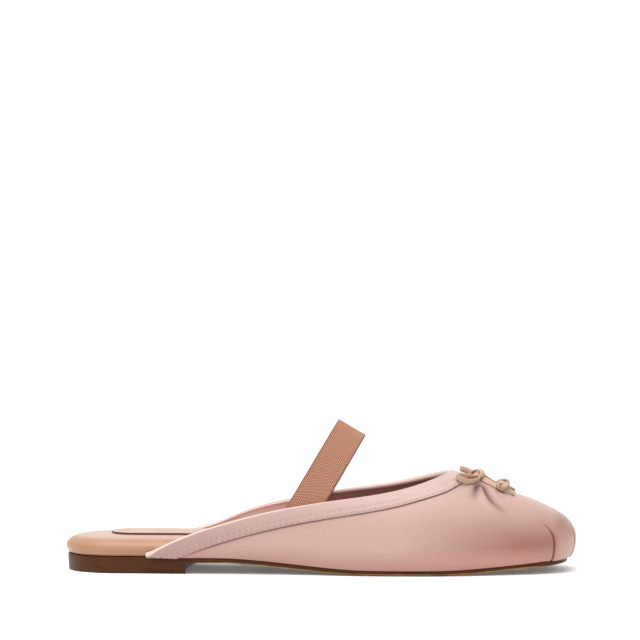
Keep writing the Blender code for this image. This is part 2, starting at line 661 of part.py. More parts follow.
def top_of_vamp(x, y):
    """Height of what the bow lies on: the upper or, near the throat, the binding over it."""
    band_end = BAND_END * LENGTH - BAND_END_CURVE * (y - centre_y(x)) ** 2 / BALL_WIDTH
    over_band = 1 - smooth_step(x, band_end, band_end + LACE_WIDTH)
    return surface_z(x, y) + (GAP + BAND_THICKNESS) * over_band


def loop_path(side, steps, inside):
    """The middle of one loop's lace, out from the knot and back, starting this far inside the knot's side."""
    shape = BOW_SIDES[side]
    length = BOW_LOOP_LENGTH * shape.length
    x0 = BOW_STATION * LENGTH
    t = np.linspace(0, 1, steps)
    along = (length + inside) * np.sin(math.pi * t) ** LOOP_ROUNDING - inside
    off = (BOW_LOOP_WIDTH / 2 * np.sin(2 * math.pi * t) * np.sin(math.pi * t) * LOOP_FULLNESS
           + LACE_THICKNESS * STRANDS_APART * np.cos(math.pi * t))
    first, last = math.radians(shape.start), math.radians(shape.end)
    bend = (last - first) / length
    heading = first + bend * along
    x = x0 + (np.cos(heading) - math.cos(first)) / bend - off * np.cos(heading)
    out = BOW_KNOT_SIZE[1] / 2 + 3 * GAP + (np.sin(heading) - math.sin(first)) / bend - off * np.sin(heading)
    y = float(centre_y(x0)) + side * out
    raised = shape.lift * LACE_WIDTH * np.clip(along / length, 0.0, 1.0) ** 2
    return np.column_stack([x, y, top_of_vamp(x, y) + 1.5 * GAP + LACE_WIDTH / 2 + raised])


def tail_heading(side):
    return np.array([math.cos(TAIL_SPREAD), side * math.sin(TAIL_SPREAD)])


def tail_path(side, steps, inside, more):
    """The middle of one tail, from this far inside the knot's front down to the vamp."""
    x0 = BOW_STATION * LENGTH
    start = np.array([x0 + BOW_KNOT_SIZE[0] / 2 + GAP, float(centre_y(x0)) + side * (LACE_WIDTH / 2 + GAP)])
    along = np.linspace(-inside, BOW_TAIL_LENGTH + more, steps)
    plan = start + along[:, None] * tail_heading(side)
    falling = np.clip(1 - along / BOW_TAIL_LENGTH, 0.0, 1.3) ** 2
    lift = 2 * GAP + LACE_THICKNESS / 2 + BOW_SIDES[side].rise * LACE_WIDTH * falling
    return np.column_stack([plan, top_of_vamp(plan[:, 0], plan[:, 1]) + lift])


def end_knot_centre(side):
    plan = tail_path(side, 2, 0.0, 0.0)[-1, :2] + tail_heading(side) * (END_KNOT_SIZE[0] / 2 + GAP)
    return np.append(plan, float(top_of_vamp(plan[0], plan[1])) + 2 * GAP + END_KNOT_SIZE[2] / 2)


def end_heading(side):
    return np.array([math.cos(END_SPREAD), side * math.sin(END_SPREAD)])


def end_path(side, steps, inside, length):
    """The middle of the lace's free end, in front of its knot."""
    along = np.linspace(-inside, length, steps)
    ahead = END_KNOT_SIZE[0] * END_KNOT_FRONT + GAP + along
    plan = end_knot_centre(side)[:2] + ahead[:, None] * end_heading(side)
    share = np.clip(along / length, 0.0, 1.0)
    lift = GAP + LACE_THICKNESS * (END_LIFT[0] + (END_LIFT[1] - END_LIFT[0]) * share)
    return np.column_stack([plan, top_of_vamp(plan[:, 0], plan[:, 1]) + lift])


def ribbon(name, path, width_axis, width, thickness, material):
    """A flat lace along a path. width_axis gives the direction of the lace's width at each point."""
    tangent = np.gradient(path, axis=0)
    tangent /= np.linalg.norm(tangent, axis=1)[:, None]
    wide = width_axis - tangent * np.sum(width_axis * tangent, axis=1)[:, None]
    wide /= np.linalg.norm(wide, axis=1)[:, None]
    thick = np.cross(tangent, wide)
    corners = ((1, 1), (-1, 1), (-1, -1), (1, -1))
    rings = [np.array([p + w * a * width / 2 + k * b * thickness / 2 for a, b in corners])
             for p, w, k in zip(path, wide, thick)]
    item = ring_solid(name, rings, material, "middle")
    bevel = item.modifiers.new("soft_edges", "BEVEL")
    bevel.width = thickness * 0.22
    bevel.segments = 1
    bevel.limit_method = "ANGLE"
    bevel.angle_limit = math.radians(50)
    return item


def knot(name, centre, size, turn, material):
    """A knot: a rounded lump, flattened where it lies, turned about Z."""
    around, up = 14, 8
    rings = []
    for k in range(1, up):
        polar = math.pi * k / up
        ring = []
        for i in range(around):
            a = 2 * math.pi * i / around
            swell = 1 + 0.10 * math.cos(3 * a) * math.sin(polar)
            x = size[0] / 2 * math.cos(a) * math.sin(polar) ** 0.8 * swell
            y = size[1] / 2 * math.sin(a) * math.sin(polar) ** 0.8 * swell
            z = -size[2] / 2 * math.cos(polar)
            ring.append((centre[0] + x * math.cos(turn) - y * math.sin(turn),
                         centre[1] + x * math.sin(turn) + y * math.cos(turn), centre[2] + z))
        rings.append(np.array(ring))
    return ring_solid(name, rings, material, "middle")


def build_bow():
    x0 = BOW_STATION * LENGTH
    y0 = float(centre_y(x0))
    seat = float(top_of_vamp(x0, y0)) + 2 * GAP
    knot("bow_knot", (x0, y0, seat + BOW_KNOT_SIZE[2] / 2), BOW_KNOT_SIZE, 0.0, "lace_leather")
    for side, shape in BOW_SIDES.items():
        word = shape.word
        path = loop_path(side, 26, 0.0)
        ribbon(f"bow_loop_{word}", path, np.tile(LACE_UPRIGHT, (len(path), 1)),
               LACE_WIDTH, LACE_THICKNESS, "lace_leather")
        heading = tail_heading(side)
        across = (-heading[1], heading[0], 0.0)
        path = tail_path(side, 8, 0.0, 0.0)
        ribbon(f"bow_tail_{word}", path, np.tile(across, (len(path), 1)), LACE_WIDTH, LACE_THICKNESS, "lace_leather")
        turn = math.atan2(heading[1], heading[0])
        knot(f"bow_end_knot_{word}", end_knot_centre(side), END_KNOT_SIZE, turn, "lace_leather")
        heading = end_heading(side)
        across = (-heading[1], heading[0], 0.0)
        path = end_path(side, 4, 0.0, LACE_END_LENGTH)
        ribbon(f"bow_end_{word}", path, np.tile(across, (len(path), 1)), LACE_WIDTH, LACE_THICKNESS, "lace_leather")


def make_materials():
    made = {}
    for name, (colour, roughness) in COLOURS.items():
        material = bpy.data.materials.new(name)
        material.use_nodes = True
        shader = material.node_tree.nodes["Principled BSDF"]
        shader.inputs["Base Color"].default_value = (*colour, 1.0)
        shader.inputs["Roughness"].default_value = roughness
        shader.inputs["Metallic"].default_value = 0.0
        made[name] = material
    return made


def centre_on_floor():
    """Parents every piece to one empty, placed so that the origin is at the middle of the underside."""
    bpy.context.view_layer.update()
    graph = bpy.context.evaluated_depsgraph_get()
    items = [o for o in bpy.context.scene.objects if o.type == "MESH"]
    corners = np.array([tuple(c) for o in items for c in o.evaluated_get(graph).bound_box])
    low, high = corners.min(0), corners.max(0)
    shoe = bpy.data.objects.new("shoe", None)
    bpy.context.scene.collection.objects.link(shoe)
    shoe.location = (-(low[0] + high[0]) / 2, -(low[1] + high[1]) / 2, -low[2])
    for item in items:
        item.parent = shoe


for old in list(bpy.data.objects):
    bpy.data.objects.remove(old)
MATERIALS = make_materials()
build_upper()
build_band()
build_outsole()
build_heel()
build_footbed()
build_sock()
build_strap()
build_bow()
centre_on_floor()
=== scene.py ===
"""The looks of a backless satin ballet flat: upper with its gathers and pleats, stitched binding, woven
elastic, padded footbed, lace bow, sole and heel, in a plain white studio.

The shoe is drawn in its own frame, as the solids are: metres, X from heel to toe with the back of the footbed
at x = 0, Y from the outer to the inner side, Z up from the floor. SHIFT then moves it onto the solids.
"""
import math
from collections import namedtuple

import bpy
import numpy as np
from mathutils import Matrix, Vector


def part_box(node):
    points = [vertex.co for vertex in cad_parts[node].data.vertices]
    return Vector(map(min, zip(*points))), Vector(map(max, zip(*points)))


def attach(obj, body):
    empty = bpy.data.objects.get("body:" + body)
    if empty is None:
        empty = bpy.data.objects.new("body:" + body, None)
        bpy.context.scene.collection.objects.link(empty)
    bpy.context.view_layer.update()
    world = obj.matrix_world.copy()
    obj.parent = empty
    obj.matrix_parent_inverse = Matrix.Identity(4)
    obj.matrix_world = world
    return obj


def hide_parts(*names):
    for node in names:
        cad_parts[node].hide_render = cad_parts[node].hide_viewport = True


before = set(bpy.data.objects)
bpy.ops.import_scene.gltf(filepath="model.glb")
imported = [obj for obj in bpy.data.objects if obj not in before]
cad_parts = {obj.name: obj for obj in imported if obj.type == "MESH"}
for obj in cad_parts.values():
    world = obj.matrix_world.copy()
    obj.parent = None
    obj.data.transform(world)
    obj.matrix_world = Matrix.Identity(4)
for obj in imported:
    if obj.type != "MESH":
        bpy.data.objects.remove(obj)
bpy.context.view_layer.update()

# Driving sizes
LENGTH = 0.250            # back of the footbed to the tip of the toe
BALL_WIDTH = 0.080        # the upper's width at the ball
INSTEP_HEIGHT = 0.048     # the vamp at the throat, above the floor
HEEL_HEIGHT = 0.0052      # floor to the underside of the outsole at the heel
TOE_SPRING = 0.0054       # lift of the outsole's underside at the tip of the toe
OUTSOLE_THICKNESS = 0.0030
OUTSOLE_INSET = 0.0033    # the outsole's edge lies this far inside the upper's widest line
EDGE_BEVEL = 0.0012       # bevel round the underside of the outsole, in front of the heel
HEEL_LENGTH = 0.0615      # back of the footbed to the heel's breast
HEEL_TAPER = 0.0005       # the heel's tread is smaller than its seat by this much all round
BREAST_HOLLOW = 0.0022    # depth of the curve in the heel's breast
UPPER_WALL = 0.0014       # satin, interlining and lining
FOOTBED_HEEL = 0.0093     # padded footbed at the heel
FOOTBED_BALL = 0.0052     # padded footbed at the ball
FOOTBED_CROWN = 0.0062    # the footbed's middle stands this much above its soft edge at the heel
CROWN_WIDTH = 0.0220      # from the edge to where the crown is level
CROWN_POWER = 4.2
SOCK_THICKNESS = 0.0008
SOCK_BORDER = 0.0140      # footbed left bare at the sides of the heel
SOCK_SET_BACK = 0.0095    # and this much more behind it
SOCK_FRONT_BORDER = 0.0055
BAND_WIDTH = 0.0075       # binding along the topline
BAND_THROAT = 1.22        # it is wider by this factor round the throat
BAND_THICKNESS = 0.0007
BAND_LONGEST = 0.985      # share of a low column, near the rear tips, that the binding may cover
TOE_STEP = 0.0007         # height of the pleat that folds over each corner of the toe
STRAP_WIDTH = 0.0155
STRAP_THICKNESS = 0.0012
STRAP_RISE = 0.0425       # along the strap, from the topline to the top of its arch
STRAP_TUCK = 0.0130       # length sewn inside the upper
STRAP_LEAN = math.radians(30.4)
STRAP_LEAVE_SLOPE = 0.78  # how much higher the strap's front edge leaves the topline than its middle
STRAP_FULLNESS = 0.66     # how square the arch is
STRAP_LEAD = (0.40, 0.52)  # how long the arch keeps the wall's lean, across and up, as shares of its rise
LACE_WIDTH = 0.0031
LACE_THICKNESS = 0.0011
LACE_END_LENGTH = 0.0026
BOW_LOOP_LENGTH = 0.0200
BOW_LOOP_WIDTH = 0.0040
BOW_TAIL_LENGTH = 0.0083
TAIL_SPREAD = math.radians(42)  # how far each tail is turned out from straight ahead
END_SPREAD = math.radians(4)    # and each free end, in front of its knot
BOW_KNOT_SIZE = (0.0072, 0.0064, 0.0048)
END_KNOT_SIZE = (0.0064, 0.0052, 0.0042)
END_KNOT_FRONT = 0.46      # where the free end starts, from the end knot's middle, as a share of its length
GAP = 0.0003              # left between pieces that touch
FOOTBED_CLEARANCE = 0.0008  # between the footbed's side and the upper

# The last. Stations are shares of LENGTH, widths shares of BALL_WIDTH, ridges shares of INSTEP_HEIGHT.
# centre is where the two halves meet, lateral and medial are measured outwards from it, and ridge is
# the height of the last's top line, which the open shoe shows only from the throat forward.
Section = namedtuple("Section", "station centre lateral medial ridge")
SECTIONS = [
    Section(0.00, 0.000, 0.372, 0.372, 0.98),
    Section(0.12, 0.000, 0.382, 0.378, 1.02),
    Section(0.24, 0.000, 0.385, 0.364, 1.06),
    Section(0.36, 0.000, 0.394, 0.346, 1.13),
    Section(0.46, 0.002, 0.420, 0.358, 1.09),
    Section(0.56, 0.008, 0.468, 0.418, 1.02),
    Section(0.66, 0.020, 0.498, 0.478, 1.005),
    Section(0.755, 0.032, 0.487, 0.487, 0.993),
    Section(0.83, 0.042, 0.442, 0.442, 0.868),
    Section(0.90, 0.050, 0.388, 0.388, 0.748),
    Section(0.95, 0.054, 0.350, 0.350, 0.680),
    Section(1.00, 0.056, 0.318, 0.318, 0.665),
]
# The topline: how high it stands over the widest line at each station on either side, as a share of the
# ridge's height over it. It starts below that line, at the rear tips, and meets the ridge at the throat.
ToplinePoint = namedtuple("ToplinePoint", "station lateral medial")
TOPLINE = [
    ToplinePoint(0.1715, -0.113, -0.113),
    ToplinePoint(0.1820, -0.087, -0.087),
    ToplinePoint(0.1928, -0.043, -0.043),
    ToplinePoint(0.2040, -0.006, -0.006),
    ToplinePoint(0.2144, 0.029, 0.027),
    ToplinePoint(0.2320, 0.080, 0.070),
    ToplinePoint(0.2700, 0.172, 0.135),
    ToplinePoint(0.3300, 0.280, 0.276),
    ToplinePoint(0.3900, 0.379, 0.404),
    ToplinePoint(0.4670, 0.508, 0.537),
    ToplinePoint(0.5640, 0.656, 0.701),
    ToplinePoint(0.6600, 0.777, 0.819),
    ToplinePoint(0.7180, 0.883, 0.906),
    ToplinePoint(0.7465, 0.966, 0.970),
    ToplinePoint(0.7570, 1.000, 1.000),
]
SECTION_SIDE_POWER = 2.5   # the section's curve: (share across) ** 2.5 + (share up) ** 2 = 1
SECTION_TOP_POWER = 2.0
TOE_DEPTH = 0.104          # shares of LENGTH over which toe and heel close
HEEL_DEPTH = 0.116
TOE_POWER = 2.9            # a squared toe
HEEL_POWER = 2.05
WIDEST_LIFT_HEEL = 0.0044  # the widest line above the upper's lowest line
WIDEST_LIFT_BALL = 0.0076
FEATHER_TUCK = 0.0030      # how far the upper curls in between its widest and its lowest line
FEATHER_DROP = 0.0008      # how far it hangs past the top of the outsole's edge, in front of its rear tips
FEATHER_DEGREES = -76.0    # the upper's lower edge
SEAT_END = 0.30            # stations where the sole's arch falls from the heel and lands
TREAD_START = 0.60
TREAD_END = 0.74
SPRING_POWER = 1.55
WAIST_THINNING = 0.94      # the outsole's thickness under heel and waist, as a share
TOE_PLEAT_STATION = 0.9572
STRAP_STATION = 0.4765     # middle of the strap on the topline
BOW_STATION = 0.8075
WIDENING = (0.64, 0.74)    # stations between which the binding widens to the throat
BAND_STEEPEST = 0.35       # the least share of a column's run that counts as across the binding
BAND_END = 0.796           # the binding's lower edge on the ridge, in front of the throat
BAND_END_CURVE = 0.85      # and how fast that edge falls back to the sides
LACE_UPRIGHT = (0.28, 0.0, 0.96)   # the loops' lace stands on its edge, square to the vamp
# Each side of the bow. length is a share of BOW_LOOP_LENGTH, lift and rise are shares of LACE_WIDTH: how far
# the loop's tip is held off the vamp, and how far above it the tail leaves the knot. The loop leaves the knot
# start degrees back from square and curves until it points end degrees back.
BowSide = namedtuple("BowSide", "word length start end lift rise")
BOW_SIDES = {
    -1: BowSide("lateral", 1.00, -6.0, 67.0, 0.06, 0.12),
    1: BowSide("medial", 0.60, 12.0, 78.0, 0.08, 0.45),
}
LOOP_FULLNESS = 0.8        # of the loop's lace, which is widest near its tip
LOOP_ROUNDING = 0.85
STRANDS_APART = 0.8        # how far each strand of a loop lies off its middle at the knot, in LACE_THICKNESS
END_LIFT = (1.4, 0.7)      # height of a free end over the vamp, at its knot and at its tip, in LACE_THICKNESS
REAR_ALIGNED = 0.46        # up to this station the upper's columns stand square to the length

LOW_ROWS = 60              # rows of the upper below its binding
BAND_ROWS = 12
BEND_ROW_LENGTH = 0.020    # a radian's bend in a column counts as this much of its length
COLUMN_STEP = 0.00125
OUTLINE_POINTS = 400
FOLD_COLUMNS = (-0.0012, -0.0008, -0.0005, -0.0003, -0.00015, 0.0, 0.00015, 0.0003, 0.0006)
CROWN_INSETS = (0.0002, 0.0006, 0.0012, 0.0020, 0.0032, 0.0045, 0.0062, 0.0085, 0.0110, 0.0140, 0.0180)

# What the finish adds to the solids
Pleat = namedtuple("Pleat", "station step crease fade_from fade_to")
PLEATS = [
    Pleat(TOE_PLEAT_STATION, TOE_STEP, 0.00060, 0.26, 0.50),
    Pleat(0.9930, 0.0003, 0.00045, 0.20, 0.36),
]
# Folds under the bow: each point is a station along the shoe and a share of the way out from the ridge.
Fold = namedtuple("Fold", "depth width path")
GATHERS = [
    Fold(0.0020, 0.0012, [(0.812, 0.26), (0.807, 0.43), (0.804, 0.60), (0.800, 0.73)]),
    Fold(0.0022, 0.0013, [(0.815, 0.24), (0.820, 0.38), (0.830, 0.58), (0.845, 0.71), (0.872, 0.80)]),
]
FOLD_NARROW = 0.75           # a fold's width at the bow, as a share of its own, and how much wider it ends
FOLD_WIDENING = 1.2
FOLD_FADING = 0.75
FOLD_RIDGE = 0.45            # the ridge beside a fold, as a share of its depth
RELIEF_FROM = (0.17, 0.25)   # stations between which folds and swells set in, in front of the rear tips
LEDGE = (-0.0002, 0.0003)    # a pleat's step rises from behind its place to in front of it
CREASE_BEHIND = 0.0003
CREASE_WIDTH = 0.00035
ROLL_BEHIND = 0.0022         # the soft ridge behind a crease, its width, its height as a share of the crease
ROLL_WIDTH = 0.0013
ROLL_HEIGHT = 0.5
SEAM_SHADOW = 0.0006         # width of the painted shadow line under the binding
PUCKER_REACH = 0.0022
# How strongly painted shade darkens the folds, the pleats' creases and the seam under the binding
GATHER_SHADE = 1.4
PLEAT_SHADE = 0.9
SEAM_SHADE = 1.0
BEVEL_START = 0.015        # the sole's bevel grows over this length in front of the heel
BEVEL_AT_WAIST = 0.45      # shares of EDGE_BEVEL, and the stations between which each changes
BEVEL_FULL_FROM = (0.35, 0.62)
BEVEL_AT_TOE = 0.2
BEVEL_TOE_FROM = (0.90, 0.97)
BEVEL_ROUNDING = 1.3
SOLE_ROUNDING = 0.0003     # of the outsole's upper edge
HEEL_ROUNDING = 0.0004     # of the heel's lower edge
EDGE_PROFILE = ((0.0, 1.0), (0.3, 0.3), (1.0, 0.0))   # a rounded edge: shares in, and down from the face
SOCK_SEAT = 0.00005        # between the sock and the footbed
FOOTBED_ROUNDING = 0.0004  # of the footbed's lower edge
SOLE_MARGIN = 0.0200       # from an edge to where a flat face is closed across the shoe, and the same
SOLE_TOP_MARGIN = 0.0150   # on the outsole's top
EDGE_MARGIN = 0.0006       # and to the ring that keeps the edge crisp
RESTING = 0.00002          # between the sole and what lies on or under it
SLACK = 0.00010            # height of the satin's low swells
SWELL_SHIFT = 1.7          # so that the two sides differ
# Each swell's share of that height, its length along the shoe and up it for one radian, its phase, and how
# many times SWELL_SHIFT moves it.
Swell = namedtuple("Swell", "share along up phase turns")
SWELLS = (
    Swell(1.0, 0.021, 0.013, 0.0, 1),
    Swell(0.7, 0.034, -0.009, 2.1, 1),
    Swell(0.4, 0.0125, 0.017, 0.6, 2),
)
PUCKER = 0.00006
STITCH_PITCH = 0.0029
STITCH_ROWS = (0.09, 0.36)   # shares of the binding's width, from its lower edge
STITCH_MARGIN = 0.004
STITCH_SPAN = (0.12, 0.88)   # where the thread shows between two holes, and how long a hole is, as shares of
HOLE_SPAN = (-0.07, 0.07)    # STITCH_PITCH
THREAD_RADIUS = 0.00019
THREAD_FULLNESS = 0.45     # how blunt a stitch's ends are
THREAD_DIP = 0.9           # how far they go down, as a share of its radius
THREAD_PLACE = 0.80        # how high it lies, as a share of the binding's thickness
HOLE_RADIUS = 0.00030
BAND_DIMPLE = 0.00022      # how deep the stitching draws the binding in
DIMPLE_WIDTH = 0.07        # and over which share of its width
BAND_EDGE = 0.55           # share of its thickness that the binding keeps at its lower edge
BAND_ROLL = 0.0012         # how high the binding's fold stands over the upper's edge
TURNING_ROWS = 8
TURNING_THICKNESS = 0.00034
TURNING_EDGE = 0.00012     # the turning's thickness along its edge
TURNING_SEAT = 0.00004     # and its clearance from the lining
BAND_SEAT = GAP * 0.3      # the binding's clearance from the satin
LACE_POWERS = (0.45, 0.75)   # how square the lace's section is, across its width and its thickness
# Where each part of the lace is hidden in a knot, and its width and thickness as shares of the lace's own.
LOOP_HIDDEN = 0.0022
LOOP_LACE = (0.94, 1.0)
LOOP_NARROWING = 0.55        # of both ends of a loop, where they enter the knot
TAIL_HIDDEN = (0.0046, 0.0010)   # inside the bow's knot and inside the end knot
TAIL_TWIST = (0.80, 0.45)    # radians from level, at its start and at its end
END_HIDDEN = 0.0012
END_LACE = (0.9, 1.0)
KNOT_LACE = (1.15, 1.2)
END_KNOT_LACE = (0.78, 1.0)
KNOT_CORE_PLACE = np.array([0.07, 0.0, -0.10])   # shares of BOW_KNOT_SIZE
KNOT_CORE_SIZE = np.array([0.78, 0.80, 0.72])
END_KNOT_CORE = 0.88
STRAP_LINES = 33
STRAP_ROUNDING = 0.0005      # of the strap's edges
STRAP_CORD = (0.0009, 0.0014)   # distances from its edge between which its edge cord ends
STRAP_THINNING = 0.16        # how much thinner it is between the cords
# Turns of lace round a knot: the angle from the tail, in radians, the share of the knot's size, the lean.
Wrap = namedtuple("Wrap", "tilt size lean")
KNOT_WRAP = Wrap(-0.62, 0.88, 0.25)
END_KNOT_WRAPS = (Wrap(1.25, 0.92, 0.35), Wrap(0.62, 0.88, -0.35), Wrap(-0.70, 0.86, 0.40))
END_SLANT = math.radians(38)
WEAVE_ROW = 0.0017
WEAVE_CORD = 0.0017

# Satin by its height over the floor, as a share of SATIN_HEIGHT: at the waist, at the forepart, where it
# darkens low down, and at the toe. These tones are painted shade and painted reflection: the light and dark
# bands of the studio mirrored in the satin, and the darker lower wall.
SATIN_HEIGHT = 0.040
SATIN_WAIST = [(0.0, (0.437, 0.212, 0.173)), (0.18, (0.408, 0.235, 0.186)), (0.38, (0.475, 0.305, 0.251)),
               (1.0, (0.451, 0.288, 0.238))]
SATIN_FRONT = [(0.0, (0.380, 0.159, 0.130)), (0.20, (0.437, 0.221, 0.177)), (0.36, (0.280, 0.124, 0.091)),
               (0.60, (0.356, 0.208, 0.166)), (0.85, (0.432, 0.274, 0.225)), (1.0, (0.451, 0.292, 0.247))]
SATIN_TOE = [(0.0, (0.437, 0.221, 0.182)), (0.20, (0.465, 0.266, 0.216)), (0.42, (0.399, 0.221, 0.182)),
             (0.62, (0.266, 0.128, 0.099)), (0.80, (0.342, 0.195, 0.160)), (1.0, (0.427, 0.274, 0.234))]
SATIN_TOE_FROM = (0.952, 0.970)
SATIN_FRONT_FROM = (0.66, 0.88)    # stations between which the one becomes the other
SATIN_FINE = (0.30, 0.17, 0.14)    # between the threads
SATIN_SHEEN = (1.0, 0.86, 0.82)
SATIN_WARP = (260.0, 2600.0, 2600.0)   # threads and slow streaks to the metre, along, across and up
SATIN_STREAKS = (9.0, 30.0, 70.0)
LINING_WEAVE = 520.0
STRAP_CHANGE = 0.004               # half the length over which the inside changes from pale to dark; on the turning, from painted light to painted shade
# Painted shade in the satin's folds and creases and along the seam under the binding
CREASE_SHADE_COLOUR = (0.11, 0.028, 0.026)
# The binding's tones by height, as for the satin: painted shade, darker where it runs low at the rear
BINDING_WAIST = [(0.3, (0.380, 0.243, 0.216)), (0.6, (0.427, 0.279, 0.243)), (1.0, (0.475, 0.333, 0.297))]
BINDING_FRONT = [(0.3, (0.399, 0.252, 0.216)), (0.7, (0.475, 0.329, 0.293)), (1.0, (0.494, 0.351, 0.315))]
LINING_PALE = (0.80, 0.58, 0.53)
# Painted highlight along the binding's rounded fold over the topline
BINDING_EDGE_HIGHLIGHT = (0.66, 0.49, 0.43)
# The turning is one cloth: painted light behind the strap, painted shade in front of it
TURNING_LIT = (0.76, 0.51, 0.46)
TURNING_SHADED = (0.32, 0.16, 0.135)
LINING_GLOW = 0.25        # painted light: the lining glows by this much, standing in for light through the cloth of the walls
LINING_LIGHT = (0.34, 0.13, 0.11)
LINING_DARK = (0.13, 0.033, 0.03)
# The elastic's darkest colour paints shade in the hollows of its weave, and darkens its edge cords
ELASTIC_LIGHT = (0.56, 0.31, 0.205)
ELASTIC_MID = (0.36, 0.165, 0.098)
ELASTIC_DARK = (0.09, 0.03, 0.016)
FOOTBED_LIGHT = (0.40, 0.215, 0.115)
FOOTBED_DARK = (0.33, 0.165, 0.085)
# Painted light: the footbed's faces that turn up are paler
FOOTBED_LIT_TOP = (0.46, 0.315, 0.235)
SOCK_LIGHT = (0.48, 0.325, 0.26)
SOCK_DARK = (0.43, 0.28, 0.215)
# Painted shade: the dark gap along the sock's edge
SOCK_EDGE_SHADE = (0.12, 0.02, 0.015)
SOLE_DARK = (0.042, 0.012, 0.002)
SOLE_BROWN = (0.088, 0.028, 0.005)
SOLE_TAN = (0.44, 0.26, 0.11)
LACE_LIGHT = (0.60, 0.41, 0.30)
LACE_DARK = (0.38, 0.235, 0.155)
THREAD = (0.50, 0.34, 0.28)
THREAD_LIGHT = (0.47, 0.33, 0.26)
# Painted shade: the dark of the needle holes along the stitching
NEEDLE_HOLE_SHADE = (0.10, 0.035, 0.03)

# Studio and camera
IMAGE_SIZE = 640
LENS = 171.8
SENSOR_WIDTH = 36
CAMERA_DISTANCE = 1.5
CAMERA_AZIMUTH = math.radians(3.0)
CAMERA_ELEVATION = math.radians(4.5)
AIM_POINT = (0.125, 0.0, 0.030)    # this point of the shoe shows at AIM_PIXEL
AIM_PIXEL = (320, 507.8)
FLOOR_SIZE = 12.0
FLOOR_DROP = 0.00005      # below the shoe's lowest face
FLOOR_COLOUR = (0.92, 0.92, 0.92)
FLOOR_GLOW = (0.88, 0.95, 1.0)     # it keeps the shadows light and cool
FLOOR_GLOW_STRENGTH = 0.11
# The studio's brightness by direction: from and to a share of the axis, dim and bright.
WORLD_GRADIENTS = {"Y": (-0.3, 0.8, 0.65, 1.10), "Z": (0.2, 0.9, 0.65, 1.00)}
SOFTBOX_PLACE = (-0.10, -0.30, 0.9)
SOFTBOX_AIM = (0.0, 0.0, 0.02)
SOFTBOX_SIZE = (0.9, 0.6)
SOFTBOX_POWER = 4.0
SUN_STRENGTH = 1.5
SUN_ANGLE = math.radians(70)
SUN_FROM = (-0.15, -0.25, 1.0)


def spline(xs, ys):
    """A natural cubic spline through the points, held level past both ends."""
    xs, ys = np.array(xs, float), np.array(ys, float)
    count, step = len(xs), np.diff(xs)
    matrix, right = np.eye(count), np.zeros(count)
    for i in range(1, count - 1):
        matrix[i, i - 1:i + 2] = step[i - 1], 2 * (step[i - 1] + step[i]), step[i]
        right[i] = 6 * ((ys[i + 1] - ys[i]) / step[i] - (ys[i] - ys[i - 1]) / step[i - 1])
    bend = np.linalg.solve(matrix, right)

    def value(x):
        x = np.clip(np.asarray(x, float), xs[0], xs[-1])
        i = np.clip(np.searchsorted(xs, x) - 1, 0, count - 2)
        after, before, h = x - xs[i], xs[i + 1] - x, step[i]
        return ((bend[i] * before ** 3 + bend[i + 1] * after ** 3) / (6 * h)
                + (ys[i] / h - bend[i] * h / 6) * before + (ys[i + 1] / h - bend[i + 1] * h / 6) * after)

    return value


def section_column(name, size):
    """One column of SECTIONS as a function of x, in metres."""
    shares = spline([s.station for s in SECTIONS], [getattr(s, name) for s in SECTIONS])
    return lambda x: shares(np.asarray(x) / LENGTH) * size


centre_y = section_column("centre", BALL_WIDTH)
half_width = {-1: section_column("lateral", BALL_WIDTH), 1: section_column("medial", BALL_WIDTH)}
ridge_z = section_column("ridge", INSTEP_HEIGHT)


def smooth_step(x, start, end):
    """0 before start, 1 after end, with a level run-in and run-out."""
    t = np.clip((np.asarray(x, float) - start) / (end - start), 0.0, 1.0)
    return t * t * (3 - 2 * t)


def station_step(x, start, end):
    """The same between two stations."""
    return smooth_step(x, start * LENGTH, end * LENGTH)


def sole_underside(x):
    """Height of the outsole's underside: level on the heel, level on the tread, sprung at the toe."""
    arch = HEEL_HEIGHT * (1 - station_step(x, SEAT_END, TREAD_START))
    run = np.clip((np.asarray(x) - TREAD_END * LENGTH) / ((1 - TREAD_END) * LENGTH), 0.0, None)
    return arch + TOE_SPRING * run ** SPRING_POWER


def sole_top(x):
    fullness = WAIST_THINNING + (1 - WAIST_THINNING) * station_step(x, 0.36, TREAD_START)
    return sole_underside(x) + OUTSOLE_THICKNESS * fullness


def feather_z(x):
    """Height of the footbed's underside."""
    return sole_top(x) + GAP


def widest_lift(x):
    return WIDEST_LIFT_HEEL + (WIDEST_LIFT_BALL - WIDEST_LIFT_HEEL) * station_step(x, 0.3, 0.6)


def widest_z(x):
    return feather_z(x) + widest_lift(x)


def curl_depth(x):
    """From the widest line down to the upper's lowest line."""
    return widest_lift(x) + FEATHER_DROP * station_step(x, 0.17, 0.24)


def ridge_lift(x):
    return ridge_z(x) - widest_z(x)


WALL_SPACE = UPPER_WALL + FOOTBED_CLEARANCE
HEEL_CENTRE_X = HEEL_DEPTH * LENGTH - WALL_SPACE
TOE_CENTRE_X = (1 - TOE_DEPTH) * LENGTH - TOE_STEP


def half_outline(side, steps=240):
    """The upper's widest line on one side, from the heel's middle to the toe's middle, as close points."""
    turn = np.linspace(0, math.pi / 2, steps)
    heel_x = HEEL_CENTRE_X - HEEL_DEPTH * LENGTH * np.cos(turn) ** (2 / HEEL_POWER)
    body_x = np.linspace(HEEL_CENTRE_X, TOE_CENTRE_X, 3 * steps)[1:-1]
    toe_x = TOE_CENTRE_X + TOE_DEPTH * LENGTH * np.sin(turn) ** (2 / TOE_POWER)
    across = np.concatenate([
        np.sin(turn) ** (2 / HEEL_POWER), np.ones(len(body_x)), np.abs(np.cos(turn)) ** (2 / TOE_POWER)])
    x = np.concatenate([heel_x, body_x, toe_x])
    across[-1] = 0.0
    return np.stack([x, centre_y(x) + side * half_width[side](x) * across], -1)


def arc_lengths(points):
    return np.concatenate([[0.0], np.cumsum(np.linalg.norm(np.diff(points, axis=0), axis=1))])


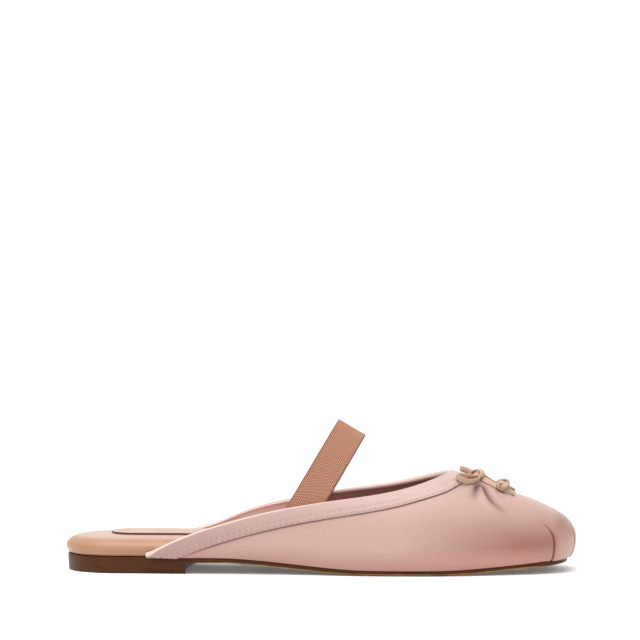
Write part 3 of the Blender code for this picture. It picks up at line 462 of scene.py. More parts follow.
def read_at(at, along, rows):
    """Rows read at the given lengths, where along says the length at which each row lies."""
    return np.stack([np.interp(at, along, rows[:, k]) for k in range(rows.shape[1])], -1)


def resample(points, at):
    """Points of a polyline at the given lengths along it."""
    return read_at(at, arc_lengths(points), points)


def unit(vectors):
    return vectors / np.linalg.norm(vectors, axis=-1, keepdims=True)


def inward(outline, side):
    """Unit normals of a half outline in plan, pointing into the shoe."""
    tangent = unit(np.gradient(outline, axis=0))
    return np.stack([side * tangent[:, 1], -side * tangent[:, 0]], -1)


def share_across(x, y):
    """0 on the ridge and 1 on the widest line, in plan."""
    off = y - centre_y(x)
    reach = np.where(off < 0, half_width[-1](x), half_width[1](x))
    forward = np.clip((x - TOE_CENTRE_X) / (TOE_DEPTH * LENGTH), 0.0, None)
    return ((np.abs(off) / reach) ** TOE_POWER + forward ** TOE_POWER) ** (1 / TOE_POWER)


def surface_z(x, y):
    """Height of the last's upper side over a point in plan."""
    share = np.clip(share_across(x, y), 0.0, 1.0)
    return widest_z(x) + ridge_lift(x) * (1 - share ** SECTION_SIDE_POWER) ** (1 / SECTION_TOP_POWER)


def lower_side(edge, normal, angles):
    """The part of the section below the widest line, at angles from minus 90 degrees to 0."""
    plan = edge + normal * FEATHER_TUCK * (1 - np.cos(angles))[:, None]
    z = widest_z(plan[:, 0]) + curl_depth(plan[:, 0]) * np.sin(angles)
    return np.column_stack([plan, z])


def topline_curve(side, steps=500):
    """The topline on one side as close points, with the angle round the section of each."""
    heights = [p.lateral if side < 0 else p.medial for p in TOPLINE]
    at = spline(heights, [p.station for p in TOPLINE])
    height = np.sin(np.linspace(math.asin(heights[0]), math.pi / 2, steps))
    x = at(height) * LENGTH
    rise = height * ridge_lift(x)
    angle = np.arcsin(np.where(rise < 0, np.clip(rise / curl_depth(x), -1.0, 0.0), height))
    across = np.clip(np.cos(np.clip(angle, 0.0, None)), 0.0, 1.0) ** (2 / SECTION_SIDE_POWER)
    tuck = FEATHER_TUCK * (1 - np.cos(np.minimum(angle, 0.0)))
    y = centre_y(x) + side * (half_width[side](x) * across - tuck)
    return np.column_stack([x, y, widest_z(x) + rise]), angle


def upper_column(edge, normal, top, top_angle):
    """Close points up one column of the upper, from its lower edge to the topline."""
    start = math.radians(FEATHER_DEGREES)
    if top_angle <= 0:
        return lower_side(edge, normal, np.linspace(start, min(top_angle, -1e-3), 40))
    low = lower_side(edge, normal, np.linspace(start, 0.0, 30))
    share = np.linspace(0.0, 1.0, 160)[1:, None] ** 2
    plan = edge + (top[:2] - edge) * share
    high = np.column_stack([plan, surface_z(plan[:, 0], plan[:, 1])])
    high[-1] = top
    return np.concatenate([low, high])


def find_shift(side=-1):
    """From the shoe's own frame to the solids' frame: toe to toe, and outermost line to outermost line."""
    low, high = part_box("upper")
    outline = half_outline(side, 600)
    return np.array([high.x - LENGTH, low.y - outline[:, 1].min(), 0.0])


SHIFT = find_shift()
SHARP_ANGLE = math.radians(50)   # edges bent more than this aren't smoothed over


def near_columns(places, spots):
    """Adds close columns on both sides of each spot, so that a fold there is sharp."""
    extra = np.concatenate([spot + np.array(FOLD_COLUMNS) for spot in spots])
    extra = extra[(extra > places[0]) & (extra < places[-1])]
    clear = np.abs(places[:, None] - extra[None]).min(axis=1) > 0.4 * COLUMN_STEP
    clear[[0, -1]] = True
    return np.sort(np.concatenate([places[clear], extra]))


def half_columns(side):
    """The upper's columns on one side from the rear tip to the toe's middle, each one's place along the
    widest line, and the places of the pleats."""
    outline = half_outline(side)
    normals = inward(outline, side)
    along = arc_lengths(outline)
    top, angles = topline_curve(side)
    top_along = arc_lengths(top)
    side_part = outline[:, 1] * side > 0
    first = np.interp(top[0, 0], outline[side_part, 0], along[side_part])
    turn = np.interp(REAR_ALIGNED * LENGTH, outline[side_part, 0], along[side_part])
    pleats = [np.interp(p.station * LENGTH, outline[:, 0], along) for p in PLEATS]
    places = np.linspace(first, along[-1], int((along[-1] - first) / COLUMN_STEP))
    places = near_columns(places, pleats)
    top_turn = np.interp(REAR_ALIGNED * LENGTH, top[:, 0], top_along)
    columns = []
    for place in places:
        edge = read_at(place, along, outline)
        normal = read_at(place, along, normals)
        if place < turn:
            at = np.interp(edge[0], top[:, 0], top_along)
        else:
            at = top_turn + (top_along[-1] - top_turn) * (place - turn) / (along[-1] - turn)
        point, angle = read_at(at, top_along, top), np.interp(at, top_along, angles)
        columns.append(upper_column(edge, normal, point, angle))
    return columns, places, pleats


def grid_normals(grid):
    """Outward unit normals of a grid whose columns run round the shoe and whose rows run up it."""
    return unit(np.cross(np.gradient(grid, axis=0), np.gradient(grid, axis=1)))


def band_depths(columns):
    """How far down each column the binding reaches, so that it is BAND_WIDTH wide square to the topline."""
    top = np.array([c[-1] for c in columns])
    lengths = np.array([arc_lengths(c)[-1] for c in columns])
    down = unit(np.array([c[-1] - resample(c, [h - BAND_WIDTH / 3])[0] for c, h in zip(columns, lengths)]))
    across = np.linalg.norm(np.cross(unit(np.gradient(top, axis=0)), down), axis=1)
    width = BAND_WIDTH * (1 + (BAND_THROAT - 1) * station_step(top[:, 0], *WIDENING))
    return np.minimum(width / np.maximum(across, BAND_STEEPEST), lengths * BAND_LONGEST)


def row_places(column, depth):
    """Lengths up a column at which its rows lie: closer where the column bends, then the binding's."""
    along = arc_lengths(column)
    heading = unit(np.diff(column, axis=0))
    bend = np.arccos(np.clip(np.sum(heading[1:] * heading[:-1], axis=1), -1.0, 1.0))
    counted = np.concatenate([[0.0], np.cumsum(np.diff(along) + BEND_ROW_LENGTH * np.append(bend, 0.0))])
    seam = along[-1] - depth
    low = np.interp(np.linspace(0, np.interp(seam, along, counted), LOW_ROWS + 1), counted, along)
    return np.concatenate([low, np.linspace(seam, along[-1], BAND_ROWS + 1)[1:]])


class Shell:
    """The upper's smooth outer surface: a grid from the lateral rear tip round the toe to the medial one."""

    def __init__(self):
        lateral, lateral_places, lateral_pleats = half_columns(-1)
        medial, medial_places, medial_pleats = half_columns(1)
        columns = lateral + medial[-2::-1]
        depths = band_depths(columns)
        self.grid = np.array([resample(c, row_places(c, d)) for c, d in zip(columns, depths)])
        self.normal = grid_normals(self.grid)
        self.normal[0], self.normal[-1] = self.normal[1], self.normal[-2]
        self.side = np.concatenate([-np.ones(len(lateral)), np.ones(len(medial) - 1)])
        self.place = np.concatenate([lateral_places, medial_places[-2::-1]])
        self.pleats = {-1: lateral_pleats, 1: medial_pleats}
        self.seam_along = arc_lengths(self.grid[:, LOW_ROWS])
        self.height = np.arange(self.grid.shape[1]) / (self.grid.shape[1] - 1)


def on_vamp(side, station, share):
    """A point of the last's upper side, from its station and its share across."""
    x = station * LENGTH
    y = centre_y(x) + side * half_width[side](x) * share
    return np.array([x, float(y), float(surface_z(x, y))])


def distance_to_line(points, line):
    """Distance of each point from a polyline of close points, and the share along it."""
    best = np.full(points.shape[:-1], 1e9)
    along = np.zeros(points.shape[:-1])
    for k, spot in enumerate(line):
        d = np.linalg.norm(points - spot, axis=-1)
        closer = d < best
        best[closer] = d[closer]
        along[closer] = k / (len(line) - 1)
    return best, along


def smooth_line(points, count=60):
    """Close points on a spline through a few."""
    points = np.array(points)
    at = arc_lengths(points)
    t = np.linspace(0, at[-1], count)
    return np.stack([spline(at, points[:, k])(t) for k in range(3)], -1)


def gather_relief(grid):
    """Folds drawn together under the bow, each a trough with a soft ridge beside it, and its painted shade.
    """
    relief, dark = np.zeros((2, *grid.shape[:2]))
    for side in (-1, 1):
        for fold in GATHERS:
            line = smooth_line([on_vamp(side, *spot) for spot in fold.path])
            far, along = distance_to_line(grid, line)
            width = fold.width * (FOLD_NARROW + FOLD_WIDENING * along)
            fade = (1 - along) ** FOLD_FADING * smooth_step(along, -0.01, 0.10)
            trough = np.exp(-(far / width) ** 2)
            relief += fold.depth * fade * (FOLD_RIDGE * np.exp(-((far - 2 * width) / width) ** 2) - trough)
            dark += GATHER_SHADE * fade * trough
    return relief, dark


def pleat_relief(shell):
    """At each pleat the satin in front lies a step higher, with a tight crease behind the step, darkened by
    painted shade.
    """
    relief, dark = np.zeros((2, *shell.grid.shape[:2]))
    for side in (-1, 1):
        mine = (shell.side == side)[:, None]
        for place, pleat in zip(shell.pleats[side], PLEATS):
            ahead = (shell.place - place)[:, None]
            fade = 1 - smooth_step(shell.height, pleat.fade_from, pleat.fade_to)[None]
            ledge = pleat.step * smooth_step(ahead, *LEDGE)
            crease = np.exp(-((ahead + CREASE_BEHIND) / CREASE_WIDTH) ** 2)
            roll = ROLL_HEIGHT * pleat.crease * np.exp(-((ahead + ROLL_BEHIND) / ROLL_WIDTH) ** 2)
            relief += (ledge - pleat.crease * crease + roll) * fade * mine
            dark += PLEAT_SHADE * crease * fade * mine
    return relief, dark


def near_seam(shell, reach):
    """1 on the binding's lower edge, falling to nothing beyond reach."""
    below = np.linalg.norm(shell.grid - shell.grid[:, LOW_ROWS][:, None], axis=2)
    return np.exp(-(below / reach) ** 2)


def slack_relief(grid):
    """Low, long swells of the satin between its seams."""
    x, y, z = grid[..., 0], grid[..., 1], grid[..., 2]
    side = np.where(y < 0, 0.0, SWELL_SHIFT)
    return SLACK * sum(wave.share * np.sin(x / wave.along + z / wave.up + wave.phase + wave.turns * side)
                       for wave in SWELLS)


def pucker_relief(shell):
    """Small puckers that the stitching draws into the satin along the binding."""
    wave = np.sin(2 * math.pi * shell.seam_along / STITCH_PITCH)[:, None]
    return PUCKER * wave * near_seam(shell, PUCKER_REACH)


def new_object(name, data):
    item = bpy.data.objects.new(name, data)
    bpy.context.scene.collection.objects.link(item)
    return item


def new_piece(name, points, faces, looks, node=None, face_materials=None):
    """A piece of the finish. looks are the names of its materials, node is the solid that it stands for."""
    mesh = bpy.data.meshes.new(name)
    mesh.from_pydata([tuple(p) for p in np.asarray(points, float) + SHIFT], [], [tuple(f) for f in faces])
    mesh.validate()
    for word in looks:
        mesh.materials.append(MATERIALS[word])
    if face_materials is not None:
        mesh.polygons.foreach_set("material_index", np.array(face_materials, np.int32))
    mesh.shade_smooth()
    mesh.set_sharp_from_angle(angle=SHARP_ANGLE)
    piece = new_object(name, mesh)
    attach(piece, "root")
    if node:
        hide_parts(node)
    return piece


def sheet_faces(wide, high, inside):
    """Quads of two matching grids, outer first, closed round their rim, and which are the inner grid's."""
    faces, inner = [], []
    for i in range(wide - 1):
        for j in range(high - 1):
            face = (i * high + j, (i + 1) * high + j, (i + 1) * high + j + 1, i * high + j + 1)
            faces += [face, tuple(inside + k for k in reversed(face))]
            inner += [0, 1]
    rim = ([i * high for i in range(wide)] + [(wide - 1) * high + j for j in range(1, high)]
           + [i * high + high - 1 for i in range(wide - 2, -1, -1)] + list(range(high - 2, 0, -1)))
    for a, b in zip(rim, rim[1:] + rim[:1]):
        faces.append((b, a, inside + a, inside + b))
        inner.append(0)
    return faces, inner


def sheet_piece(name, outer, inner, looks, node, lined=False):
    wide, high = outer.shape[:2]
    faces, inside = sheet_faces(wide, high, wide * high)
    points = np.concatenate([outer.reshape(-1, 3), inner.reshape(-1, 3)])
    return new_piece(name, points, faces, looks, node, inside if lined else None)


def ring_faces(rings, count, close_along, base=0):
    """Quads between closed rings, lowest first, and the two ends as ladders or as fans."""
    faces = []
    for r in range(rings - 1):
        for i in range(count):
            j = (i + 1) % count
            faces.append([base + r * count + i, base + r * count + j,
                          base + (r + 1) * count + j, base + (r + 1) * count + i])
    for first, flip in ((base, True), (base + (rings - 1) * count, False)):
        if close_along == "middle":
            cap = [list(range(first, first + count))]
        else:
            cap = [[first + i, first + i + 1, first + count - 2 - i, first + count - 1 - i]
                   for i in range(count // 2 - 1)]
        faces += [list(reversed(f)) if flip else f for f in cap]
    return faces


def ring_piece(name, rings, looks, node, close_along="width", ring_materials=None):
    count = len(rings[0])
    faces = ring_faces(len(rings), count, close_along)
    which = None
    if ring_materials:
        which = [ring_materials[r] for r in range(len(rings) - 1) for _ in range(count)]
        which += [ring_materials[0]] * (count // 2 - 1) + [ring_materials[-1]] * (count // 2 - 1)
    return new_piece(name, np.concatenate(rings), faces, looks, node, which)


def build_upper(shell):
    gathers, gathers_shade = gather_relief(shell.grid)
    pleats, pleats_shade = pleat_relief(shell)
    relief = gathers + pleats + slack_relief(shell.grid) + pucker_relief(shell)
    under_band = smooth_step(shell.height, LOW_ROWS / (LOW_ROWS + BAND_ROWS), 1.0)
    relief *= (1 - under_band)[None]
    relief = relief * station_step(shell.grid[..., 0], *RELIEF_FROM)
    outer = shell.grid + shell.normal * relief[:, :, None]
    inner = shell.grid - shell.normal * UPPER_WALL
    upper = sheet_piece("satin_upper", outer, inner, ["satin", "lining"], "upper", lined=True)
    # Painted shade: the folds, the pleats' creases and the line under the binding are darkened in the satin's
    # colour
    dark = gathers_shade + pleats_shade + SEAM_SHADE * near_seam(shell, SEAM_SHADOW)
    dark = np.clip(dark, 0.0, 1.0)
    layer = upper.data.attributes.new("crease_shade", "FLOAT", "POINT")
    layer.data.foreach_set("value", np.concatenate([dark.ravel(), np.zeros(dark.size)]).astype(np.float32))
    return upper


def build_band(shell):
    """The binding: its outer face, a rounded fold over the topline and a narrow turning inside."""
    rows = shell.grid[:, LOW_ROWS:]
    normal = shell.normal[:, LOW_ROWS:]
    edge, out = rows[:, -1], normal[:, -1]
    up = unit(np.cross(out, np.gradient(edge, axis=0)))
    share = np.linspace(0, 1, rows.shape[1])
    stitched = sum(np.exp(-((share - row) / DIMPLE_WIDTH) ** 2) for row in STITCH_ROWS)
    pull = 0.5 + 0.5 * np.cos(2 * math.pi * shell.seam_along / STITCH_PITCH)
    puff = BAND_THICKNESS * (BAND_EDGE + (1 - BAND_EDGE) * smooth_step(share, 0.0, 0.10))[None]
    puff = puff - BAND_DIMPLE * stitched[None] * (0.6 + 0.4 * pull[:, None])
    faces_out = rows + normal * (GAP + puff)[:, :, None]
    turn = np.linspace(0, math.pi, 9)[1:-1]
    middle = edge - out * UPPER_WALL / 2
    over, under = (np.stack([middle + out * (UPPER_WALL / 2 + away) * math.cos(a) + up * high * math.sin(a)
                             for a in turn], 1)
                   for away, high in ((GAP + BAND_THICKNESS, BAND_ROLL),
                                      (BAND_SEAT, BAND_ROLL - BAND_THICKNESS)))
    turning = rows[:, -2:-2 - TURNING_ROWS:-1]
    turning_normal = normal[:, -2:-2 - TURNING_ROWS:-1]
    lift = np.linspace(GAP + BAND_THICKNESS, TURNING_EDGE, TURNING_ROWS)[None, :, None]
    inside_out = turning - turning_normal * (UPPER_WALL + np.minimum(lift, TURNING_THICKNESS))
    inside_in = turning - turning_normal * (UPPER_WALL + TURNING_SEAT)
    outer = np.concatenate([faces_out, over, inside_out], axis=1)
    inner = np.concatenate([rows + normal * BAND_SEAT, under, inside_in], axis=1)
    looks = ["binding", "binding_edge_highlight", "turning"]
    band = sheet_piece("topline_binding", outer, inner, looks, "topline_band")
    wide, high = outer.shape[:2]
    which = np.zeros((wide - 1, high - 1, 2), np.int32)
    # the rounded fold takes the paler colour: a painted highlight
    which[:, rows.shape[1]:rows.shape[1] + 4] = 1
    which[:, rows.shape[1] + len(turn) - 2:] = 2
    rim = np.zeros(len(band.data.polygons) - which.size, np.int32)
    band.data.polygons.foreach_set("material_index", np.concatenate([which.ravel(), rim]))
    return band


def capsule(start, end, up, radius, flat=0.7, around=8, rings=7):
    """A stitch, or the hole between two: a capsule that dips at both ends; a hole's dark capsule is painted
    shade.
    """
    axis = end - start
    length = np.linalg.norm(axis)
    axis = axis / length
    wide = unit(np.cross(up, axis))
    points = []
    for k in range(rings):
        t = (k + 0.5) / rings
        rise = math.sin(math.pi * t)
        swell = rise ** THREAD_FULLNESS
        centre = start + axis * length * t - up * radius * (1 - rise) * THREAD_DIP
        for i in range(around):
            a = 2 * math.pi * i / around
            points.append(centre + radius * swell * (wide * math.cos(a) + up * flat * math.sin(a)))
    return points, ring_faces(rings, around, "middle")


def joined_piece(name, parts, look, node=None):
    points, faces = [], []
    for part_points, part_faces in parts:
        base = len(points)
        points += list(part_points)
        faces += [[base + k for k in f] for f in part_faces]
    return new_piece(name, points, faces, [look], node)


def band_line(shell, share):
    """A line along the binding's outer face, with its normals."""
    position = LOW_ROWS + share * BAND_ROWS
    low = int(position)
    part = position - low
    line, normal = (rows[:, low] * (1 - part) + rows[:, low + 1] * part
                    for rows in (shell.grid, shell.normal))
    return line, unit(normal)


def build_stitches(shell):
    for share, word, look in zip(STITCH_ROWS, ("lower", "upper"), ("thread_light", "thread")):
        line, normal = band_line(shell, share)
        line = line + normal * (GAP + BAND_THICKNESS * THREAD_PLACE)
        along = arc_lengths(line)
        threads, holes = [], []
        for k in range(int((along[-1] - 2 * STITCH_MARGIN) / STITCH_PITCH)):
            at = STITCH_MARGIN + k * STITCH_PITCH
            start, end = resample(line, at + STITCH_PITCH * np.array(STITCH_SPAN))
            up = unit(read_at(at, along, normal))
            threads.append(capsule(start, end, up, THREAD_RADIUS))
            # each hole is a small dark capsule: painted shade in the needle hole
            hole = resample(line, at + STITCH_PITCH * np.array(HOLE_SPAN))
            holes.append(capsule(*hole, up, HOLE_RADIUS, 0.5, 6, 4))
        joined_piece(f"stitches_{word}", threads, look)
        joined_piece(f"needle_holes_{word}", holes, "needle_hole")


def loop_outline(count):
    """The widest line as one closed loop of count points, lateral side first, with inward normals.
    Point i and point count - 1 - i face each other across the shoe."""
    points, normals = [], []
    for side in (-1, 1):
        outline = half_outline(side)
        along = arc_lengths(outline)
        places = ((np.arange(count // 2) + 0.5) / (count // 2) * along[-1])[::-side]
        points.append(read_at(places, along, outline))
        normals.append(read_at(places, along, inward(outline, side)))
    return np.concatenate(points), unit(np.concatenate(normals))


def flat_ring(edge, normal, inset, height):
    """A ring inset from the widest line, with its height given by a function of x."""
    plan = edge + normal * np.broadcast_to(inset, len(edge))[:, None]
    return np.column_stack([plan, height(plan[:, 0])])


def bevel_width(x):
    """None on the heel, narrow at the waist, full at the ball, and dying out under the toe."""
    start = smooth_step(x, HEEL_LENGTH, HEEL_LENGTH + BEVEL_START)
    waist = BEVEL_AT_WAIST + (1 - BEVEL_AT_WAIST) * station_step(x, *BEVEL_FULL_FROM)
    toe = 1 - (1 - BEVEL_AT_TOE) * station_step(x, *BEVEL_TOE_FROM)
    return EDGE_BEVEL * (start * waist * toe)


def build_outsole():
    """The sole: dark on its edge, with a paler bevel along its lower edge in front of the heel."""
    edge, normal = loop_outline(OUTLINE_POINTS)
    bevel = bevel_width(edge[:, 0])
    rings = [flat_ring(edge, normal, OUTSOLE_INSET + bevel + inset, sole_underside)
             for inset in (SOLE_MARGIN, EDGE_MARGIN)]
    for t in (0.0, 0.12, 0.5, 0.88, 1.0):
        rings.append(flat_ring(edge, normal, OUTSOLE_INSET + bevel * (1 - t) ** BEVEL_ROUNDING,
                               lambda x: sole_underside(x) + bevel * t))
    for inset, down in EDGE_PROFILE:
        rings.append(flat_ring(edge, normal, OUTSOLE_INSET + SOLE_ROUNDING * inset,
                               lambda x: sole_top(x) - SOLE_ROUNDING * down))
    rings.append(flat_ring(edge, normal, OUTSOLE_INSET + SOLE_TOP_MARGIN, sole_top))
    return ring_piece("leather_outsole", rings, ["sole_edge", "sole_under", "sole_bevel"],
                      "outsole", ring_materials=[1, 1, 2, 2, 2, 0, 0, 0, 0, 0])


def heel_ring(inset, z, count=140, breast_points=25):
    """The heel's outline at one height: the outline's rear, closed by the hollow breast."""
    sides = []
    for side in (-1, 1):
        outline = half_outline(side, 600)
        plan = outline + inward(outline, side) * inset
        rear = plan[plan[:, 0] <= HEEL_LENGTH]
        sides.append(resample(rear, np.linspace(0, arc_lengths(rear)[-1], count // 2 + 1)))
    lateral, medial = sides
    width = np.linspace(-1, 1, breast_points)
    y = lateral[-1, 1] + (medial[-1, 1] - lateral[-1, 1]) * (width + 1) / 2
    x = lateral[-1, 0] - BREAST_HOLLOW * (1 - width ** 2)
    breast = np.column_stack([x, y])[1:-1]
    loop = np.concatenate([lateral, breast, medial[:0:-1]])
    return np.column_stack([loop, np.full(len(loop), z)])


def build_heel():
    seat = OUTSOLE_INSET + HEEL_TAPER
    rise = HEEL_HEIGHT - RESTING - HEEL_ROUNDING
    rings = [heel_ring(seat + HEEL_ROUNDING * inset, HEEL_ROUNDING * up) for inset, up in EDGE_PROFILE[::-1]]
    rings += [heel_ring(seat - HEEL_TAPER * t, HEEL_ROUNDING + rise * t) for t in (0.33, 0.66, 1.0)]
    return ring_piece("stacked_heel", rings, ["heel"], "heel", "middle")


def footbed_top(x):
    """Height of the footbed's upper side."""
    return feather_z(x) + FOOTBED_HEEL + (FOOTBED_BALL - FOOTBED_HEEL) * station_step(x, 0.22, 0.62)


def wall_clearance_ring(edge, normal, height):
    """Where the upper's inner face, moved in by the clearance, stands at a height that is a function of x."""
    angles = np.radians(np.linspace(FEATHER_DEGREES, 0.0, 24))
    depth = curl_depth(edge[:, 0])[:, None]
    outward_part = depth * np.cos(angles)
    down_part = FEATHER_TUCK * np.sin(angles)
    size = np.hypot(outward_part, down_part)
    inset = FEATHER_TUCK * (1 - np.cos(angles)) + WALL_SPACE * outward_part / size
    z = widest_z(edge[:, 0])[:, None] + depth * np.sin(angles) - WALL_SPACE * down_part / size
    plan = edge
    for _ in range(3):
        found = np.array([np.interp(h, zs, insets) for h, zs, insets in zip(height(plan[:, 0]), z, inset)])
        plan = edge + normal * found[:, None]
    return np.column_stack([plan, height(plan[:, 0])])


def footbed_crown(x):
    return FOOTBED_CROWN * (0.4 + 0.6 * (1 - station_step(x, 0.2, 0.6)))


FULL_OUTLINE = np.concatenate([half_outline(-1), half_outline(1)])


def footbed_surface(plan):
    """Height of the footbed's upper side over points in plan: a soft edge that rises to a level middle."""
    inside = np.linalg.norm(plan[:, None] - FULL_OUTLINE[None], axis=2).min(axis=1) - WALL_SPACE
    share = 1 - np.clip(inside / CROWN_WIDTH, 0.0, 1.0)
    return footbed_top(plan[:, 0]) - footbed_crown(plan[:, 0]) * (1 - np.sqrt(1 - share ** CROWN_POWER))


def build_footbed():
    """The padded footbed: its leather is drawn over the edge, and it shows at the heel."""
    edge, normal = loop_outline(OUTLINE_POINTS)
    sides = [wall_clearance_ring(edge, normal, lambda x: (feather_z(x) + UPPER_WALL + 2 * GAP) * (1 - t)
                                 + (footbed_top(x) - footbed_crown(x)) * t) for t in np.linspace(0.0, 1.0, 9)]
    base = sides[0][:, :2] + normal * UPPER_WALL / 2
    low = feather_z(base[:, 0]) + RESTING
    rings = [np.column_stack([base + normal * inset, low + up])
             for inset, up in ((SOLE_MARGIN, 0.0), (EDGE_MARGIN, 0.0), (0.0, FOOTBED_ROUNDING))]
    rings += sides
    for inset in CROWN_INSETS:
        plan = edge + normal * (WALL_SPACE + inset)
        rings.append(np.column_stack([plan, footbed_surface(plan)]))
    return ring_piece("padded_footbed", rings, ["footbed"], "footbed")


def sock_ring(edge, normal, inset, lift):
    """A ring of the sock: a bare border left round the heel, close to the upper in front."""
    border = SOCK_BORDER - (SOCK_BORDER - SOCK_FRONT_BORDER) * station_step(edge[:, 0], 0.24, 0.38)
    plan = edge + normal * (WALL_SPACE + border + inset)[:, None]
    plan[:, 0] += SOCK_SET_BACK * (1 - station_step(plan[:, 0], 0.0, 0.30))
    return np.column_stack([plan, footbed_surface(plan) + lift])


def build_sock():
    edge, normal = loop_outline(OUTLINE_POINTS)
    top = GAP + SOCK_THICKNESS
    profile = [(0.0060, SOCK_SEAT), (0.0, SOCK_SEAT), (0.0, top * 0.7), (0.0001, top * 0.9)]
    profile += [(inset, top) for inset in (0.0004, 0.0015, 0.0030, 0.0048, 0.0068, 0.0090)]
    rings = [sock_ring(edge, normal, inset, lift) for inset, lift in profile]
    # the lowest rings, round the sock's edge, carry painted shade: the dark gap between sock and footbed
    return ring_piece("sock", rings, ["sock", "sock_edge_shade"], "sock_lining",
                      ring_materials=[1, 1, 1, 0, 0, 0, 0, 0, 0])


def wall_y(x, z, side, inset):
    """Y of the last's side at a height, moved in by inset square to the section."""
    up = np.clip((z - widest_z(x)) / ridge_lift(x), 0.0, 0.98)
    across = (1 - up ** SECTION_TOP_POWER) ** (1 / SECTION_SIDE_POWER)
    slope_up = SECTION_TOP_POWER * up ** (SECTION_TOP_POWER - 1) / ridge_lift(x)
    slope_out = SECTION_SIDE_POWER * across ** (SECTION_SIDE_POWER - 1) / half_width[side](x)
    lean = slope_out / np.hypot(slope_up, slope_out)
    return centre_y(x) + side * (half_width[side](x) * across - inset / lean)


def bezier(points, t):
    a, b, c, d = points
    return a * (1 - t) ** 3 + 3 * b * t * (1 - t) ** 2 + 3 * c * t ** 2 * (1 - t) + d * t ** 3


def strap_base():
    """Where the middle of the strap crosses the topline, in side view."""
    top, _ = topline_curve(-1)
    x = STRAP_STATION * LENGTH
    return x, np.interp(x, top[:, 0], top[:, 2])


def strap_line(offset, tuck_points=9, arch_points=49):
    """One line along the strap, at an offset across its width: up one wall, over the instep and down."""
    base_x, base_z = strap_base()
    rise = (math.sin(STRAP_LEAN), math.cos(STRAP_LEAN))
    leave = offset * STRAP_LEAVE_SLOPE
    inset = UPPER_WALL + 1.5 * GAP + STRAP_THICKNESS / 2

    def place(h):
        x = base_x + offset * rise[1] + h * rise[0]
        return x, base_z - offset * rise[0] + h * rise[1]

    halves = []
    for side in (-1, 1):
        line = []
        for h in np.linspace(-STRAP_TUCK, leave, tuck_points):
            x, z = place(h)
            line.append((x, float(wall_y(x, z, side, inset)), z))
        start = line[-1][1]
        lean = (start - line[-2][1]) / ((leave + STRAP_TUCK) / (tuck_points - 1))
        reach = STRAP_RISE - leave
        middle = float(centre_y(place(STRAP_RISE)[0]))
        ys = (start, start + lean * reach * STRAP_LEAD[0], middle + (start - middle) * STRAP_FULLNESS, middle)
        hs = (leave, leave + reach * STRAP_LEAD[1], STRAP_RISE, STRAP_RISE)
        for t in np.linspace(0, 1, arch_points)[1:]:
            x, z = place(bezier(hs, t))
            line.append((x, float(bezier(ys, t)), z))
        halves.append(line)
    return np.array(halves[0] + halves[1][-2::-1])


def build_strap():
    """The elastic, thicker along its two woven edges, with its own measure along and across for the weave."""
    share = np.sin(np.linspace(-0.5, 0.5, STRAP_LINES) * math.pi) / 2
    lines = np.array([strap_line(w * STRAP_WIDTH) for w in share])[::-1]
    normal = grid_normals(lines)
    from_edge = (0.5 - np.abs(share)) * STRAP_WIDTH
    half = STRAP_THICKNESS / 2 * np.sqrt(np.clip(from_edge / STRAP_ROUNDING, 0.04, 1.0))
    half = half * (1 - STRAP_THINNING * smooth_step(from_edge, *STRAP_CORD))
    lift = normal * half[::-1][:, None, None]
    piece = sheet_piece("elastic_strap", lines + lift, lines - lift, ["elastic"], "instep_strap")
    wide, high = lines.shape[:2]
    along = np.tile(arc_lengths(lines[wide // 2])[None], (wide, 1))
    across = np.tile((share[::-1] * STRAP_WIDTH)[:, None], (1, high))
    add_measure(piece, np.tile(np.stack([along, across], -1).reshape(-1, 2), (2, 1)))
    return piece


def add_measure(piece, values):
    """Stores two lengths for each point, which the weave is drawn in."""
    layer = piece.data.uv_layers.new(name="measure")
    corner = np.zeros(len(piece.data.loops), np.int32)
    piece.data.loops.foreach_get("vertex_index", corner)
    layer.data.foreach_set("uv", values[corner].astype(np.float32).ravel())


def top_of_vamp(x, y):
    """Height of what the bow lies on: the upper or, near the throat, the binding over it."""
    band_end = BAND_END * LENGTH - BAND_END_CURVE * (y - centre_y(x)) ** 2 / BALL_WIDTH
    over_band = 1 - smooth_step(x, band_end, band_end + LACE_WIDTH)
    return surface_z(x, y) + (GAP + BAND_THICKNESS) * over_band


def loop_path(side, steps, inside):
    """The middle of one loop's lace, out from the knot and back, starting this far inside the knot's side."""
    shape = BOW_SIDES[side]
    length = BOW_LOOP_LENGTH * shape.length
    x0 = BOW_STATION * LENGTH
    t = np.linspace(0, 1, steps)
    along = (length + inside) * np.sin(math.pi * t) ** LOOP_ROUNDING - inside
    off = (BOW_LOOP_WIDTH / 2 * np.sin(2 * math.pi * t) * np.sin(math.pi * t) * LOOP_FULLNESS
           + LACE_THICKNESS * STRANDS_APART * np.cos(math.pi * t))
    first, last = math.radians(shape.start), math.radians(shape.end)
    bend = (last - first) / length
    heading = first + bend * along
    x = x0 + (np.cos(heading) - math.cos(first)) / bend - off * np.cos(heading)
    out = BOW_KNOT_SIZE[1] / 2 + 3 * GAP + (np.sin(heading) - math.sin(first)) / bend - off * np.sin(heading)
    y = float(centre_y(x0)) + side * out
    raised = shape.lift * LACE_WIDTH * np.clip(along / length, 0.0, 1.0) ** 2
    return np.column_stack([x, y, top_of_vamp(x, y) + 1.5 * GAP + LACE_WIDTH / 2 + raised])


def tail_heading(side):
    return np.array([math.cos(TAIL_SPREAD), side * math.sin(TAIL_SPREAD)])


